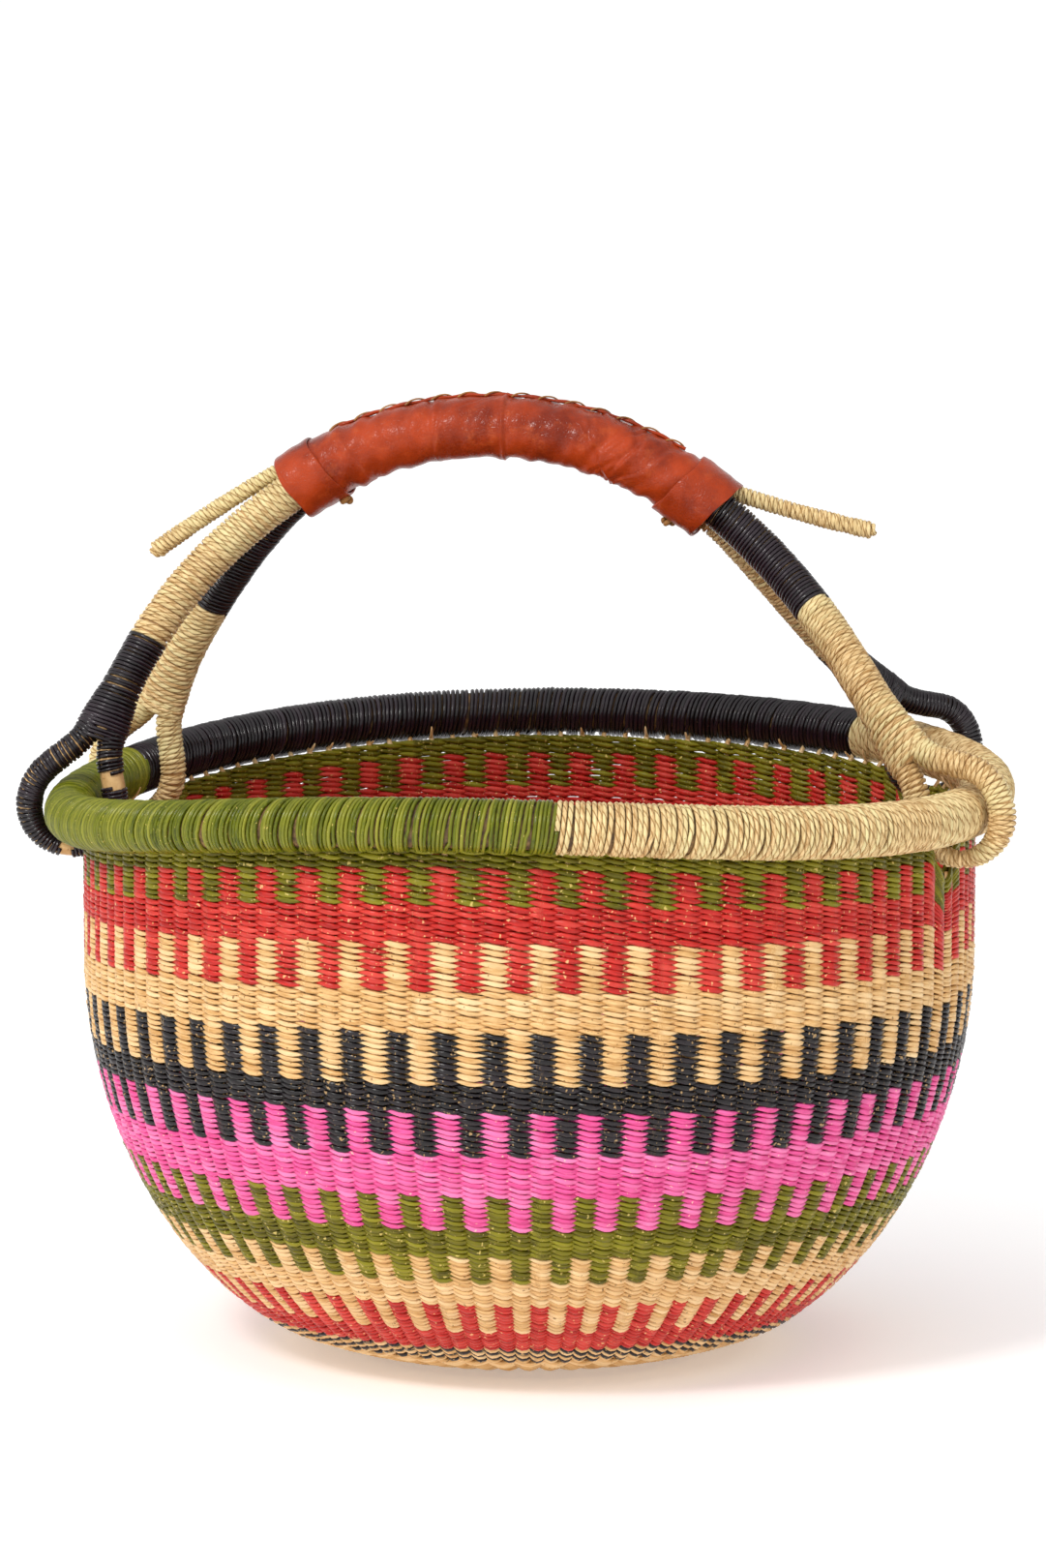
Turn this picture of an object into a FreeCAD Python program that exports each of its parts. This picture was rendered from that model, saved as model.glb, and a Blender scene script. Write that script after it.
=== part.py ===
import FreeCAD, Part
import math
import os

# Woven market basket: a round twined bowl with a wrapped rim hoop and a leather-gripped double
# handle whose four forked ends loop round the rim.
# Millimetres, +Z up. The origin is the centre of the flat base, on the ground.
# +X is to the right and -Y to the front. Azimuth is counted from +X towards +Y.

SHEET = {
    # Rim hoop: a closed tube round the mouth. Its height rises and falls in three waves.
    "rim_radius": 209.0,
    "rim_tube_radius": 12.0,
    "rim_wrap_thickness": 2.2,
    "rim_tilt": 3.6,
    "rim_saddle": 7.4,
    "rim_ripple": 2.2,
    "rim_gap": 2.6,
    # Wall of the bowl and its colour bands, each band's height counted in woven rows.
    "wall_inset": 5.7,
    "wall_thickness": 5.0,
    "row_clearance": 0.1,
    "base_height": 14.4,
    "base_flat_radius": 45.0,
    "zigzag_height": 6.8,
    "red_lower_height": 17.0,
    "natural_lower_height": 25.7,
    "green_lower_height": 28.1,
    "pink_height": 36.0,
    "black_height": 33.8,
    "natural_upper_height": 38.2,
    "red_upper_height": 24.2,
    "green_upper_height": 20.3,
    # Stakes that stand up out of the wall and are caught under the rim.
    "stake_count": 120,
    "stake_radius": 1.1,
    "stake_bite": 1.2,
    # Handle: two wrapped arcs side by side in the grip, four legs, four loops round the rim.
    "grip_arc_radius": 160.0,
    "grip_top": 418.6,
    "grip_left_reach": 91.5,
    "grip_right_reach": 102.0,
    "arc_half_gap": 0.8,
    "front_arc_rise": 2.5,
    "back_arc_rise": -3.5,
    "leg_radius": 9.2,
    "leg_wrap_thickness": 2.2,
    "tine_radius": 6.3,
    "tine_wrap_thickness": 1.8,
    "wrap_clearance": 0.1,
    "loop_side_clearance": 1.5,
    "rock_clearance": 3.5,
    "slot_clearance": 1.5,
    "slot_depth_clearance": 3.7,
    # Leather grip and what is sewn to it.
    "grip_room_height": 3.9,
    "grip_room_depth": 4.0,
    "leather_thickness": 1.2,
    "band_thickness": 0.8,
    "band_width": 23.0,
    "padding_inset": 14.0,
    "seam_radius": 1.0,
    "lace_radius": 0.6,
    "lace_length": 8.0,
    "lace_pitch": 14.0,
    "knot_radius": 2.8,
    "left_knot_inset": 18.5,
    "right_knot_inset": 14.0,
    "knot_across": 4.0,
    "tail_radius": 3.75,
    "tail_length": 70.0,
    "tail_across": 2.0,
    "tail_gap": 0.3,
}

# Bowl bands from the base upwards: node name and the sheet's name for the band's height.
BANDS = [
    ("weave_zigzag_rows", "zigzag_height"),
    ("weave_red_lower", "red_lower_height"),
    ("weave_natural_lower", "natural_lower_height"),
    ("weave_green_lower", "green_lower_height"),
    ("weave_pink", "pink_height"),
    ("weave_black", "black_height"),
    ("weave_natural_upper", "natural_upper_height"),
    ("weave_red_upper", "red_upper_height"),
    ("weave_green_upper", "green_upper_height"),
]

# Stretches of the rim's wrapping: node name, first and last azimuth in degrees.
RIM_WRAPS = [
    ("rim_wrap_natural", -87.0, 40.0),
    ("rim_wrap_black", 40.0, 154.0),
    ("rim_wrap_green", 154.0, 273.0),
]

# Each leg of the handle: the azimuth of its loop round the rim, the angle on the loop where the
# leg joins it (0 is the outside of the rim, 90 its top), the leg's course there as (along the
# handle, across it, up), how far it keeps the grip's direction as a share of its length, and how
# far down it the wrapping changes colour.
LEGS = {
    "front_left": (178.0, 112.0, (-0.36, -0.20, -0.91), 0.44, 0.58),
    "back_left": (152.0, 116.0, (-0.32, 0.22, -0.92), 0.18, 0.56),
    "front_right": (-24.0, 140.0, (0.62, -0.30, -0.72), 0.42, 0.36),
    "back_right": (25.0, 132.0, (0.70, 0.30, -0.62), 0.20, 0.66),
}
END_REACH = 1.0 / 3.0    # how far a leg keeps its course above the loop, as a share of its length
FORK_SHARE = 0.22        # lowest share of a leg, over which it tapers into its two tines

TURN = 2.0 * math.pi
BAND_SECTIONS = 24
LEG_SECTIONS = 9
GRIP_SECTIONS = 9
RING_SECTIONS = 16

doc = FreeCAD.newDocument("market_basket")
sheet = doc.addObject("Spreadsheet::Sheet", "Sizes")
for row, (alias, value) in enumerate(SHEET.items(), start=1):
    sheet.set(f"A{row}", alias)
    sheet.set(f"B{row}", str(value))
    sheet.setAlias(f"B{row}", alias)
doc.recompute()


def size(alias):
    """Driving dimension from the sheet."""
    return float(sheet.get(alias))


def vec(x, y, z):
    return FreeCAD.Vector(x, y, z)


parts = []


def place(obj, label):
    """Give a finished sub-part its label and its place in the basket's frame."""
    obj.Label = label
    obj.Placement = FreeCAD.Placement()
    parts.append(obj)
    return obj


def add_shape(label, shape):
    obj = doc.addObject("Part::Feature", label)
    obj.Shape = shape
    return place(obj, label)


# ---------------------------------------------------------------- the rim's course

def rim_wave(azimuth):
    """Height of the rim's centre line above its mean, at an azimuth in radians."""
    tilt = size("rim_tilt") * math.cos(azimuth - math.radians(12.0))
    saddle = size("rim_saddle") * math.cos(2.0 * (azimuth - math.radians(82.0)))
    ripple = size("rim_ripple") * math.cos(3.0 * (azimuth - math.radians(12.0)))
    return tilt + saddle + ripple


wall_radius = size("rim_radius") - size("wall_inset")
wall_height = size("base_height") + sum(size(alias) for _, alias in BANDS)
rim_height = wall_height + size("rim_gap") + size("rim_tube_radius")


def rim_point(azimuth):
    radius = size("rim_radius")
    return vec(radius * math.cos(azimuth), radius * math.sin(azimuth), rim_height + rim_wave(azimuth))


# ---------------------------------------------------------------- the bowl's wall

BELLY_SHARE = 0.753      # height of the bowl's widest row as a share of the wall's
SUNK_SHARE = 1.0706      # depth of the whole round outline against that height
OUTLINE_UP = 0.95        # exponents of the bowl's rounded outline
OUTLINE_OUT = 0.7576
BASE_RISE = 2.2          # exponent of the base's gentle rise from its flat to the first band
BASE_STEPS = 6


def wall_outline(level):
    """Outer radius of the bowl at a row's mean height: a squared-off half oval."""
    belly = BELLY_SHARE * wall_height
    if level >= belly:
        return wall_radius
    cosine = ((belly - level) / (SUNK_SHARE * belly)) ** OUTLINE_UP
    return wall_radius * math.sqrt(1.0 - cosine * cosine) ** OUTLINE_OUT


def wall_point(level, azimuth, depth):
    """Point of the wall, depth millimetres in from its outer face.

    The rows follow the rim's waves less and less towards the base.
    """
    step = 0.5
    slope = (wall_outline(level + step) - wall_outline(level - step)) / (2.0 * step)
    length = math.hypot(1.0, slope)
    radius = wall_outline(level) - depth / length
    share = max(level - size("base_height"), 0.0) / (wall_height - size("base_height"))
    follow = 0.35 * math.sqrt(share) + 0.65 * share ** 5
    height = level + depth * slope / length + follow * rim_wave(azimuth)
    return vec(radius * math.cos(azimuth), radius * math.sin(azimuth), height)


def band_solid(low, high):
    """Closed ring of wall between two row heights, lofted through upright sections."""
    thickness = size("wall_thickness")
    steps = max(1, math.ceil((high - low) / 14.0))
    levels = [low + (high - low) * k / steps for k in range(steps + 1)]
    sections = []
    for k in range(BAND_SECTIONS):
        azimuth = TURN * k / BAND_SECTIONS
        outer = [wall_point(level, azimuth, 0.0) for level in levels]
        inner = [wall_point(level, azimuth, thickness) for level in reversed(levels)]
        sections.append(Part.makePolygon(outer + inner + outer[:1]))
    return Part.makeLoft(sections, True, False, True)


# ---------------------------------------------------------------- tubes along a course

def framed(wire, point, tangent, across):
    """Move a wire drawn round the origin in XY onto a point of a course.

    Its X turns to the direction across, and its Z to the tangent.
    """
    along = FreeCAD.Vector(tangent).normalize()
    side = (across - along * across.dot(along)).normalize()
    moved = wire.copy()
    moved.Placement = FreeCAD.Placement(point, FreeCAD.Rotation(side, along.cross(side), along, "ZXY"))
    return moved


def circle(radius):
    return Part.Wire(Part.makeCircle(radius))


def stadium(half_width, half_height):
    """Closed outline, X half_width and Y half_height, with round sides."""
    flat = half_width - half_height
    right = Part.Arc(vec(flat, -half_height, 0), vec(half_width, 0, 0), vec(flat, half_height, 0))
    left = Part.Arc(vec(-flat, half_height, 0), vec(-half_width, 0, 0), vec(-flat, -half_height, 0))
    top = Part.LineSegment(vec(flat, half_height, 0), vec(-flat, half_height, 0))
    bottom = Part.LineSegment(vec(-flat, -half_height, 0), vec(flat, -half_height, 0))
    return Part.Wire([right.toShape(), top.toShape(), left.toShape(), bottom.toShape()])


def tube(course, outlines, closed=False):
    """Solid lofted through one outline per station; a station is (point, tangent, across)."""
    wires = [framed(outline, *station) for station, outline in zip(course, outlines)]
    return Part.makeLoft(wires, True, False, closed)


def round_tube(course, radii, closed=False):
    return tube(course, [circle(radius) for radius in radii], closed)


# ---------------------------------------------------------------- base

base = doc.addObject("PartDesign::Body", "base")
sketch = base.newObject("Sketcher::SketchObject", "base_section")
xz_plane = [face for face in base.Origin.OriginFeatures if face.Role == "XZ_Plane"][0]
sketch.AttachmentSupport = [(xz_plane, "")]
sketch.MapMode = "FlatFace"
thickness = size("wall_thickness")
flat, edge = size("base_flat_radius"), wall_outline(size("base_height"))
shares = [k / BASE_STEPS for k in range(BASE_STEPS + 1)]
rising = [(flat + (edge - flat) * share, size("base_height") * share ** BASE_RISE) for share in shares]
lip = wall_point(size("base_height"), 0.0, thickness)
falling = [(lip.x, lip.z)]
falling += [(radius - 0.5 * thickness * share, height + thickness)
            for (radius, height), share in zip(reversed(rising[:-1]), reversed(shares[:-1]))]
section = [(0.0, 0.0)] + rising + falling + [(0.0, thickness)]
for k, (start, end) in enumerate(zip(section, section[1:] + section[:1])):
    sketch.addGeometry(Part.LineSegment(vec(*start, 0), vec(*end, 0)), False)
base_turn = base.newObject("PartDesign::Revolution", "base_turn")
base_turn.Profile = sketch
base_turn.ReferenceAxis = (sketch, ["V_Axis"])
base_turn.Angle = 360.0
sketch.Visibility = False
doc.recompute()
place(base, "base")

# ---------------------------------------------------------------- handle's own directions

loop_azimuth = {name: math.radians(spec[0]) for name, spec in LEGS.items()}
loop_centre = {name: rim_point(azimuth) for name, azimuth in loop_azimuth.items()}
left_middle = (loop_centre["front_left"] + loop_centre["back_left"]) * 0.5
right_middle = (loop_centre["front_right"] + loop_centre["back_right"]) * 0.5
along_dir = right_middle - left_middle
along_dir = vec(along_dir.x, along_dir.y, 0.0).normalize()
across_dir = vec(-along_dir.y, along_dir.x, 0.0)
up_dir = vec(0.0, 0.0, 1.0)
handle_centre = (left_middle + right_middle) * 0.5
grip_middle = -13.5      # the grip's crest lies a little to the left of the handle's centre


def handle_point(along, across, height):
    point = handle_centre + along_dir * along + across_dir * across
    return vec(point.x, point.y, height)


def grip_station(angle, across=0.0, rise=0.0):
    """Station on the grip's arc, angle in radians from its crest, positive to the right."""
    radius = size("grip_arc_radius")
    centre_height = size("grip_top") - radius
    along = grip_middle + (radius + rise) * math.sin(angle)
    point = handle_point(along, across, centre_height + (radius + rise) * math.cos(angle))
    tangent = along_dir * math.cos(angle) - up_dir * math.sin(angle)
    return point, tangent, across_dir


arc_half_spacing = size("leg_radius") + size("arc_half_gap")
left_angle = -math.asin(size("grip_left_reach") / size("grip_arc_radius"))
right_angle = math.asin(size("grip_right_reach") / size("grip_arc_radius"))


# ---------------------------------------------------------------- loops and legs

loop_half_width = size("rim_tube_radius") + size("tine_radius") + size("loop_side_clearance")
loop_half_height = size("rim_tube_radius") + size("tine_radius") + size("rock_clearance")


def loop_point(name, angle):
    """Point of a loop's centre line: an oval round the rim in the upright radial plane."""
    azimuth = loop_azimuth[name]
    outward = vec(math.cos(azimuth), math.sin(azimuth), 0.0)
    offset = outward * (loop_half_width * math.cos(angle)) + up_dir * (loop_half_height * math.sin(angle))
    return loop_centre[name] + offset


def loop_ring(name, radius):
    azimuth = loop_azimuth[name]
    outward = vec(math.cos(azimuth), math.sin(azimuth), 0.0)
    sideways = up_dir.cross(outward)
    course = []
    for k in range(RING_SECTIONS):
        angle = TURN * k / RING_SECTIONS
        rise, spread = loop_half_height * math.cos(angle), loop_half_width * math.sin(angle)
        tangent = up_dir * rise - outward * spread
        course.append((loop_point(name, angle), tangent, sideways))
    return round_tube(course, [radius] * RING_SECTIONS, closed=True)


def arc_offset(side):
    """Place of the front or back bundle in the grip's section: (across, rise)."""
    if side == "front":
        return -arc_half_spacing, size("front_arc_rise")
    return arc_half_spacing, size("back_arc_rise")


def leg_stations(name, first, last):
    """Stations of a leg between two shares of its length, from the grip down to its loop.

    The centre line is a cubic curve.
    """
    _, join_angle, end_course, start_reach, _ = LEGS[name]
    side, end = name.split("_")
    start, start_course, _ = grip_station(left_angle if end == "left" else right_angle, *arc_offset(side))
    if end == "left":
        start_course = start_course * -1.0
    foot = loop_point(name, math.radians(join_angle))
    foot_course = along_dir * end_course[0] + across_dir * end_course[1] + up_dir * end_course[2]
    length = (foot - start).Length
    control = [start, start + start_course * (start_reach * length),
               foot - foot_course * (END_REACH * length), foot]
    stations = []
    for k in range(LEG_SECTIONS):
        s = first + (last - first) * k / (LEG_SECTIONS - 1)
        weights = ((1 - s) ** 3, 3 * s * (1 - s) ** 2, 3 * s * s * (1 - s), s ** 3)
        slopes = (-3 * (1 - s) ** 2, 3 * (1 - s) * (1 - 3 * s), 3 * s * (2 - 3 * s), 3 * s * s)
        point, course = vec(0, 0, 0), vec(0, 0, 0)
        for node, weight, slope in zip(control, weights, slopes):
            point += node * weight
            course += node * slope
        stations.append((point, course, across_dir))
    return stations


def leg_tube(name, thick, thin, first=0.0, last=1.0):
    """Tube along part of a leg, full and then tapering over the fork."""
    radii = []
    for k in range(LEG_SECTIONS):
        s = first + (last - first) * k / (LEG_SECTIONS - 1)
        forked = max(0.0, (s - 1.0 + FORK_SHARE) / FORK_SHARE)
        radii.append(thick + (thin - thick) * forked)
    return round_tube(leg_stations(name, first, last), radii)


leg_core_radius = size("leg_radius") - size("leg_wrap_thickness")
tine_core_radius = size("tine_radius") - size("tine_wrap_thickness")
clearance = size("wrap_clearance")
WRAP_START = 0.001       # the wrapping starts this share of the leg's length outside the grip


def handle_core(side):
    """One bundle of stalks: a loop at either end, two legs and the run through the grip."""
    angles = [left_angle + (right_angle - left_angle) * k / (GRIP_SECTIONS - 1) for k in range(GRIP_SECTIONS)]
    run = [grip_station(angle, *arc_offset(side)) for angle in angles]
    bundle = round_tube(run, [leg_core_radius] * GRIP_SECTIONS)
    for name in (f"{side}_left", f"{side}_right"):
        leg = leg_tube(name, leg_core_radius, tine_core_radius)
        bundle = bundle.fuse([leg, loop_ring(name, tine_core_radius)])
    return bundle.removeSplitter()


def leg_wrap(name):
    """Upper wrapping of a leg, a sleeve round the bundle."""
    last = LEGS[name][4]
    outer = leg_tube(name, size("leg_radius"), size("tine_radius"), WRAP_START, last)
    inner = leg_tube(name, leg_core_radius + clearance, tine_core_radius + clearance, 0.0, last + 0.01)
    return outer.cut(inner)


def fork_wrap(name):
    """Lower wrapping: a sleeve that splits over the two tines and closes under the rim."""
    first = LEGS[name][4] + WRAP_START
    outer = leg_tube(name, size("leg_radius"), size("tine_radius"), first)
    outer = outer.fuse(loop_ring(name, size("tine_radius")))
    inner = leg_tube(name, leg_core_radius + clearance, tine_core_radius + clearance, first - 0.01)
    inner = inner.fuse(loop_ring(name, tine_core_radius + clearance))
    return outer.cut(inner)


def loop_slot(name):
    """Room in the wall for a loop: a round-bottomed slot open at the wall's top."""
    azimuth = loop_azimuth[name]
    outward = vec(math.cos(azimuth), math.sin(azimuth), 0.0)
    half_width = size("tine_radius") + size("slot_clearance")
    drop = size("slot_depth_clearance") - size("slot_clearance")
    bottom = loop_point(name, -0.25 * TURN) - up_dir * drop
    length = 6.0 * size("wall_thickness")
    start = bottom - outward * (0.5 * length + size("wall_inset"))
    round_end = Part.makeCylinder(half_width, length, start, outward)
    sideways = up_dir.cross(outward)
    corners = [start - sideways * half_width, start + sideways * half_width]
    corners += [corner + up_dir * (2.0 * size("rim_tube_radius")) for corner in reversed(corners)]
    opening = Part.Face(Part.makePolygon(corners + corners[:1])).extrude(outward * length)
    return round_end.fuse(opening)


# ---------------------------------------------------------------- bowl bands

slots = [loop_slot(name) for name in LEGS]
level = size("base_height")
for label, alias in BANDS:
    top = level + size(alias)
    ring = band_solid(level + size("row_clearance"), top)
    if label == "weave_green_upper":
        ring = ring.cut(slots)
    add_shape(label, ring)
    level = top

# ---------------------------------------------------------------- rim

rim_stations = []
for k in range(2 * BAND_SECTIONS):
    azimuth = TURN * k / (2 * BAND_SECTIONS)
    step = 0.01
    rim_stations.append((rim_point(azimuth), rim_point(azimuth + step) - rim_point(azimuth - step), up_dir))
rim_core_radius = size("rim_tube_radius") - size("rim_wrap_thickness")
add_shape("rim_core", round_tube(rim_stations, [rim_core_radius] * len(rim_stations), closed=True))

for label, first, last in RIM_WRAPS:
    count = math.ceil((last - first) / 9.0)
    course = []
    for k in range(count + 1):
        azimuth = math.radians(first + (last - first) * k / count)
        step = 0.01
        course.append((rim_point(azimuth), rim_point(azimuth + step) - rim_point(azimuth - step), up_dir))
    outer = round_tube(course, [size("rim_tube_radius")] * len(course))
    inner = round_tube(course, [rim_core_radius + clearance] * len(course))
    add_shape(label, outer.cut(inner))

# ---------------------------------------------------------------- stake ends

stakes = []
slot_half_angle = (size("tine_radius") + size("slot_clearance") + size("stake_radius")) / wall_radius
for k in range(int(size("stake_count"))):
    azimuth = TURN * (k + 0.5) / size("stake_count")
    nearest = min(abs(math.remainder(azimuth - loop, TURN)) for loop in loop_azimuth.values())
    if nearest < slot_half_angle:
        continue
    foot = wall_point(wall_height, azimuth, 0.5 * size("wall_thickness"))
    rise = (rim_point(azimuth) - foot)
    gap = rise.Length - size("rim_tube_radius")
    rise.normalize()
    start = foot - rise * size("stake_bite")
    stake = doc.addObject("Part::Cylinder", f"stake_{k}")
    stake.setExpression("Radius", "Sizes.stake_radius")
    stake.Height = gap + 2.0 * size("stake_bite")
    stake.Placement = FreeCAD.Placement(start, FreeCAD.Rotation(up_dir, rise))
    stakes.append(stake)
stake_ends = doc.addObject("Part::Compound", "stake_ends")
stake_ends.Links = stakes
place(stake_ends, "stake_ends")

# ---------------------------------------------------------------- handle cores and wrappings

for side in ("front", "back"):
    add_shape(f"{side}_handle_core", handle_core(side))
for name in LEGS:
    add_shape(f"{name}_leg_wrap", leg_wrap(name))
    add_shape(f"{name}_fork_wrap", fork_wrap(name))

# ---------------------------------------------------------------- leather grip

highest_arc = max(abs(size("front_arc_rise")), abs(size("back_arc_rise")))
grip_half_height = leg_core_radius + highest_arc + size("grip_room_height")
grip_half_depth = arc_half_spacing + leg_core_radius + size("grip_room_depth")


def grip_sleeve(first, last, grow, sections=GRIP_SECTIONS):
    """Solid stadium-shaped run of the grip between two angles."""
    angles = [first + (last - first) * k / (sections - 1) for k in range(sections)]
    outline = stadium(grip_half_depth + grow, grip_half_height + grow)
    return tube([grip_station(angle) for angle in angles], [outline] * sections)


leather = -size("leather_thickness")
sleeve = grip_sleeve(left_angle, right_angle, 0.0)
add_shape("grip_leather", sleeve.cut(grip_sleeve(left_angle, right_angle, leather)))

padding_turn = size("padding_inset") / size("grip_arc_radius")
pad_left, pad_right = left_angle + padding_turn, right_angle - padding_turn
padding = grip_sleeve(pad_left, pad_right, leather - clearance)
angles = [left_angle + (right_angle - left_angle) * k / (GRIP_SECTIONS - 1) for k in range(GRIP_SECTIONS)]
for side in ("front", "back"):
    run = [grip_station(angle, *arc_offset(side)) for angle in angles]
    padding = padding.cut(round_tube(run, [leg_core_radius + clearance] * GRIP_SECTIONS))
add_shape("grip_padding", padding)

band_turn = size("band_width") / size("grip_arc_radius")
for label, first, last in (("left_grip_band", left_angle, left_angle + band_turn),
                           ("right_grip_band", right_angle - band_turn, right_angle)):
    outer = grip_sleeve(first, last, clearance + size("band_thickness"), 4)
    add_shape(label, outer.cut(grip_sleeve(first, last, clearance, 4)))

seam_rise = grip_half_height + size("seam_radius") + clearance
seam_first, seam_last = left_angle + band_turn + 0.02, right_angle - band_turn - 0.02
seam_angles = [seam_first + (seam_last - seam_first) * k / (GRIP_SECTIONS - 1) for k in range(GRIP_SECTIONS)]
seam_course = [grip_station(angle, 0.0, seam_rise) for angle in seam_angles]
add_shape("grip_seam", round_tube(seam_course, [size("seam_radius")] * GRIP_SECTIONS))

laces = []
lace_rise = seam_rise + size("seam_radius") + size("lace_radius") + clearance
lace_turn = size("lace_pitch") / size("grip_arc_radius")
lace_count = int((seam_last - seam_first) / lace_turn)
for k in range(lace_count):
    middle, tangent, across = grip_station(seam_first + lace_turn * (k + 0.5), 0.0, lace_rise)
    lean = (tangent + across * 0.45).normalize()
    lace = doc.addObject("Part::Cylinder", f"lace_{k}")
    lace.setExpression("Radius", "Sizes.lace_radius")
    lace.setExpression("Height", "Sizes.lace_length")
    start = middle - lean * (0.5 * size("lace_length"))
    lace.Placement = FreeCAD.Placement(start, FreeCAD.Rotation(up_dir, lean))
    laces.append(lace)
grip_lacing = doc.addObject("Part::Compound", "grip_lacing")
grip_lacing.Links = laces
place(grip_lacing, "grip_lacing")

knot_rise = -(grip_half_height + size("knot_radius") + size("band_thickness") + 2.0 * clearance)
left_knot_angle = left_angle + size("left_knot_inset") / size("grip_arc_radius")
right_knot_angle = right_angle - size("right_knot_inset") / size("grip_arc_radius")
for label, angle in (("left_knot", left_knot_angle), ("right_knot", right_knot_angle)):
    middle, _, _ = grip_station(angle, -size("knot_across"), knot_rise)
    knot = doc.addObject("Part::Sphere", label)
    knot.setExpression("Radius", "Sizes.knot_radius")
    place(knot, label)
    knot.Placement = FreeCAD.Placement(middle, FreeCAD.Rotation())

# ---------------------------------------------------------------- tails of the handle's wrapping


def tail(angle, outward, lift, droop, bend):
    """Stiff wrapped end that leaves the grip just above the legs.

    It starts lift millimetres above its lowest place, droop degrees below the level, and bends by
    bend millimetres along its length.
    """
    apart = size("leg_radius") + size("tail_radius") + size("tail_gap")
    rise = size("front_arc_rise") + math.sqrt(apart ** 2 - (arc_half_spacing + size("tail_across")) ** 2)
    start, _, across = grip_station(angle, size("tail_across"), rise + lift)
    slope = math.radians(droop)
    course = along_dir * (outward * math.cos(slope)) - up_dir * math.sin(slope)
    start = start + course * clearance
    length = size("tail_length")
    stations, radii = [], []
    for share in (0.0, 0.25, 0.5, 0.75, 0.96, 1.0):
        point = start + course * (length * share) + up_dir * (bend * share * share)
        stations.append((point, course * length + up_dir * (2.0 * bend * share), across))
        radii.append(size("tail_radius") if share < 0.99 else 0.6 * size("tail_radius"))
    return round_tube(stations, radii)


add_shape("left_tail", tail(left_angle, -1.0, 0.0, 29.0, -4.0))
add_shape("right_tail", tail(right_angle, 1.0, 2.4, 18.0, 4.0))

# ---------------------------------------------------------------- check and write

doc.recompute()
for obj in doc.Objects:
    if "Invalid" in obj.State or "Error" in obj.State:
        raise RuntimeError(f"{obj.Label} failed: {obj.State}")
for obj in parts:
    if obj.Shape.isNull() or not obj.Shape.isValid() or not obj.Shape.Solids:
        raise RuntimeError(f"{obj.Label} has no valid solid")

os.makedirs("parts", exist_ok=True)
for obj in parts:
    obj.Shape.exportStep(os.path.join("parts", f"{obj.Label}.step"))
    print(f"{obj.Label}: {len(obj.Shape.Solids)} solid(s), {obj.Shape.Volume / 1000.0:.2f} cm3")
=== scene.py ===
import logging
import math
from dataclasses import dataclass, replace
from enum import Enum
from typing import Callable

import bpy
import numpy as np
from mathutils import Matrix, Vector


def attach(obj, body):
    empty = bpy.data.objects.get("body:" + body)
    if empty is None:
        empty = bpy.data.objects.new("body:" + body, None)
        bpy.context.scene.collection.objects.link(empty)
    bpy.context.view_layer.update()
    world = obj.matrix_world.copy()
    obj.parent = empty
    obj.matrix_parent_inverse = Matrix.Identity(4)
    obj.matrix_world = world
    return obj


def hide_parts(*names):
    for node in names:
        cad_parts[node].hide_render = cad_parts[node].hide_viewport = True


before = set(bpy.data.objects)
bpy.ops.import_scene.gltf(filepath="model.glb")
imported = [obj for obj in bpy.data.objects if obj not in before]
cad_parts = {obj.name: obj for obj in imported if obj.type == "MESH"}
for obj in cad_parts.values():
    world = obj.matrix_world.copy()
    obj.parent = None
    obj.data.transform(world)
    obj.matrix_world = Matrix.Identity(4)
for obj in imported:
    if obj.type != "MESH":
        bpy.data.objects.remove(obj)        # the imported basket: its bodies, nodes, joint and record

# Woven market basket: a twined grass bowl, a wrapped rim hoop and a double handle with a leather
# grip. Shapes are worked out in millimetres in the design's frame: +X right, -Y front, +Z up.

Array = np.ndarray
Frames = tuple[Array, Array, Array, Array, Array]     # centre, two directions, two half sizes
Course = Callable[[Array], Frames]                    # the frames at shares from 0 to 1

MM = 0.001
TURN = 2.0 * math.pi
UP = np.array([0.0, 0.0, 1.0])
EVEN = 0.5          # tone of a piece that has no blades of its own
Socket = bpy.types.NodeSocket
log = logging.getLogger("market_basket")


# ---------------------------------------------------------------- small tools

def linear(code: str) -> tuple[float, float, float, float]:
    """Turn an sRGB hex value into a linear colour.

    Args:
        code: Six hex digits, such as "e8c891".

    Returns:
        Red, green, blue and an alpha of 1.
    """
    shares = np.array([int(code[k:k + 2], 16) for k in (0, 2, 4)]) / 255.0
    curve = np.where(shares <= 0.04045, shares / 12.92, ((shares + 0.055) / 1.055) ** 2.4)
    return (float(curve[0]), float(curve[1]), float(curve[2]), 1.0)


def add_node(tree: bpy.types.NodeTree, kind: str, inputs: dict | None = None,
             **settings) -> bpy.types.Node:
    """Add one node to a material.

    Args:
        tree: The material's node tree.
        kind: The node's type name.
        inputs: Socket name or number, against a value or another node's output.
        **settings: The node's own properties.

    Returns:
        The new node.
    """
    node = tree.nodes.new(kind)
    for name, value in settings.items():
        setattr(node, name, value)
    for key, value in (inputs or {}).items():
        if isinstance(value, bpy.types.NodeSocket):
            tree.links.new(value, node.inputs[key])
        else:
            node.inputs[key].default_value = value
    return node


def unit(vectors: Array) -> Array:
    """Vectors of the same directions and of length 1."""
    return vectors / np.linalg.norm(vectors, axis=-1, keepdims=True)


def outward(azimuth: Array) -> Array:
    """Level unit vectors away from the bowl's axis, at azimuths in radians."""
    azimuth = np.asarray(azimuth, float)
    return np.stack([np.cos(azimuth), np.sin(azimuth), np.zeros_like(azimuth)], axis=-1)


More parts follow.
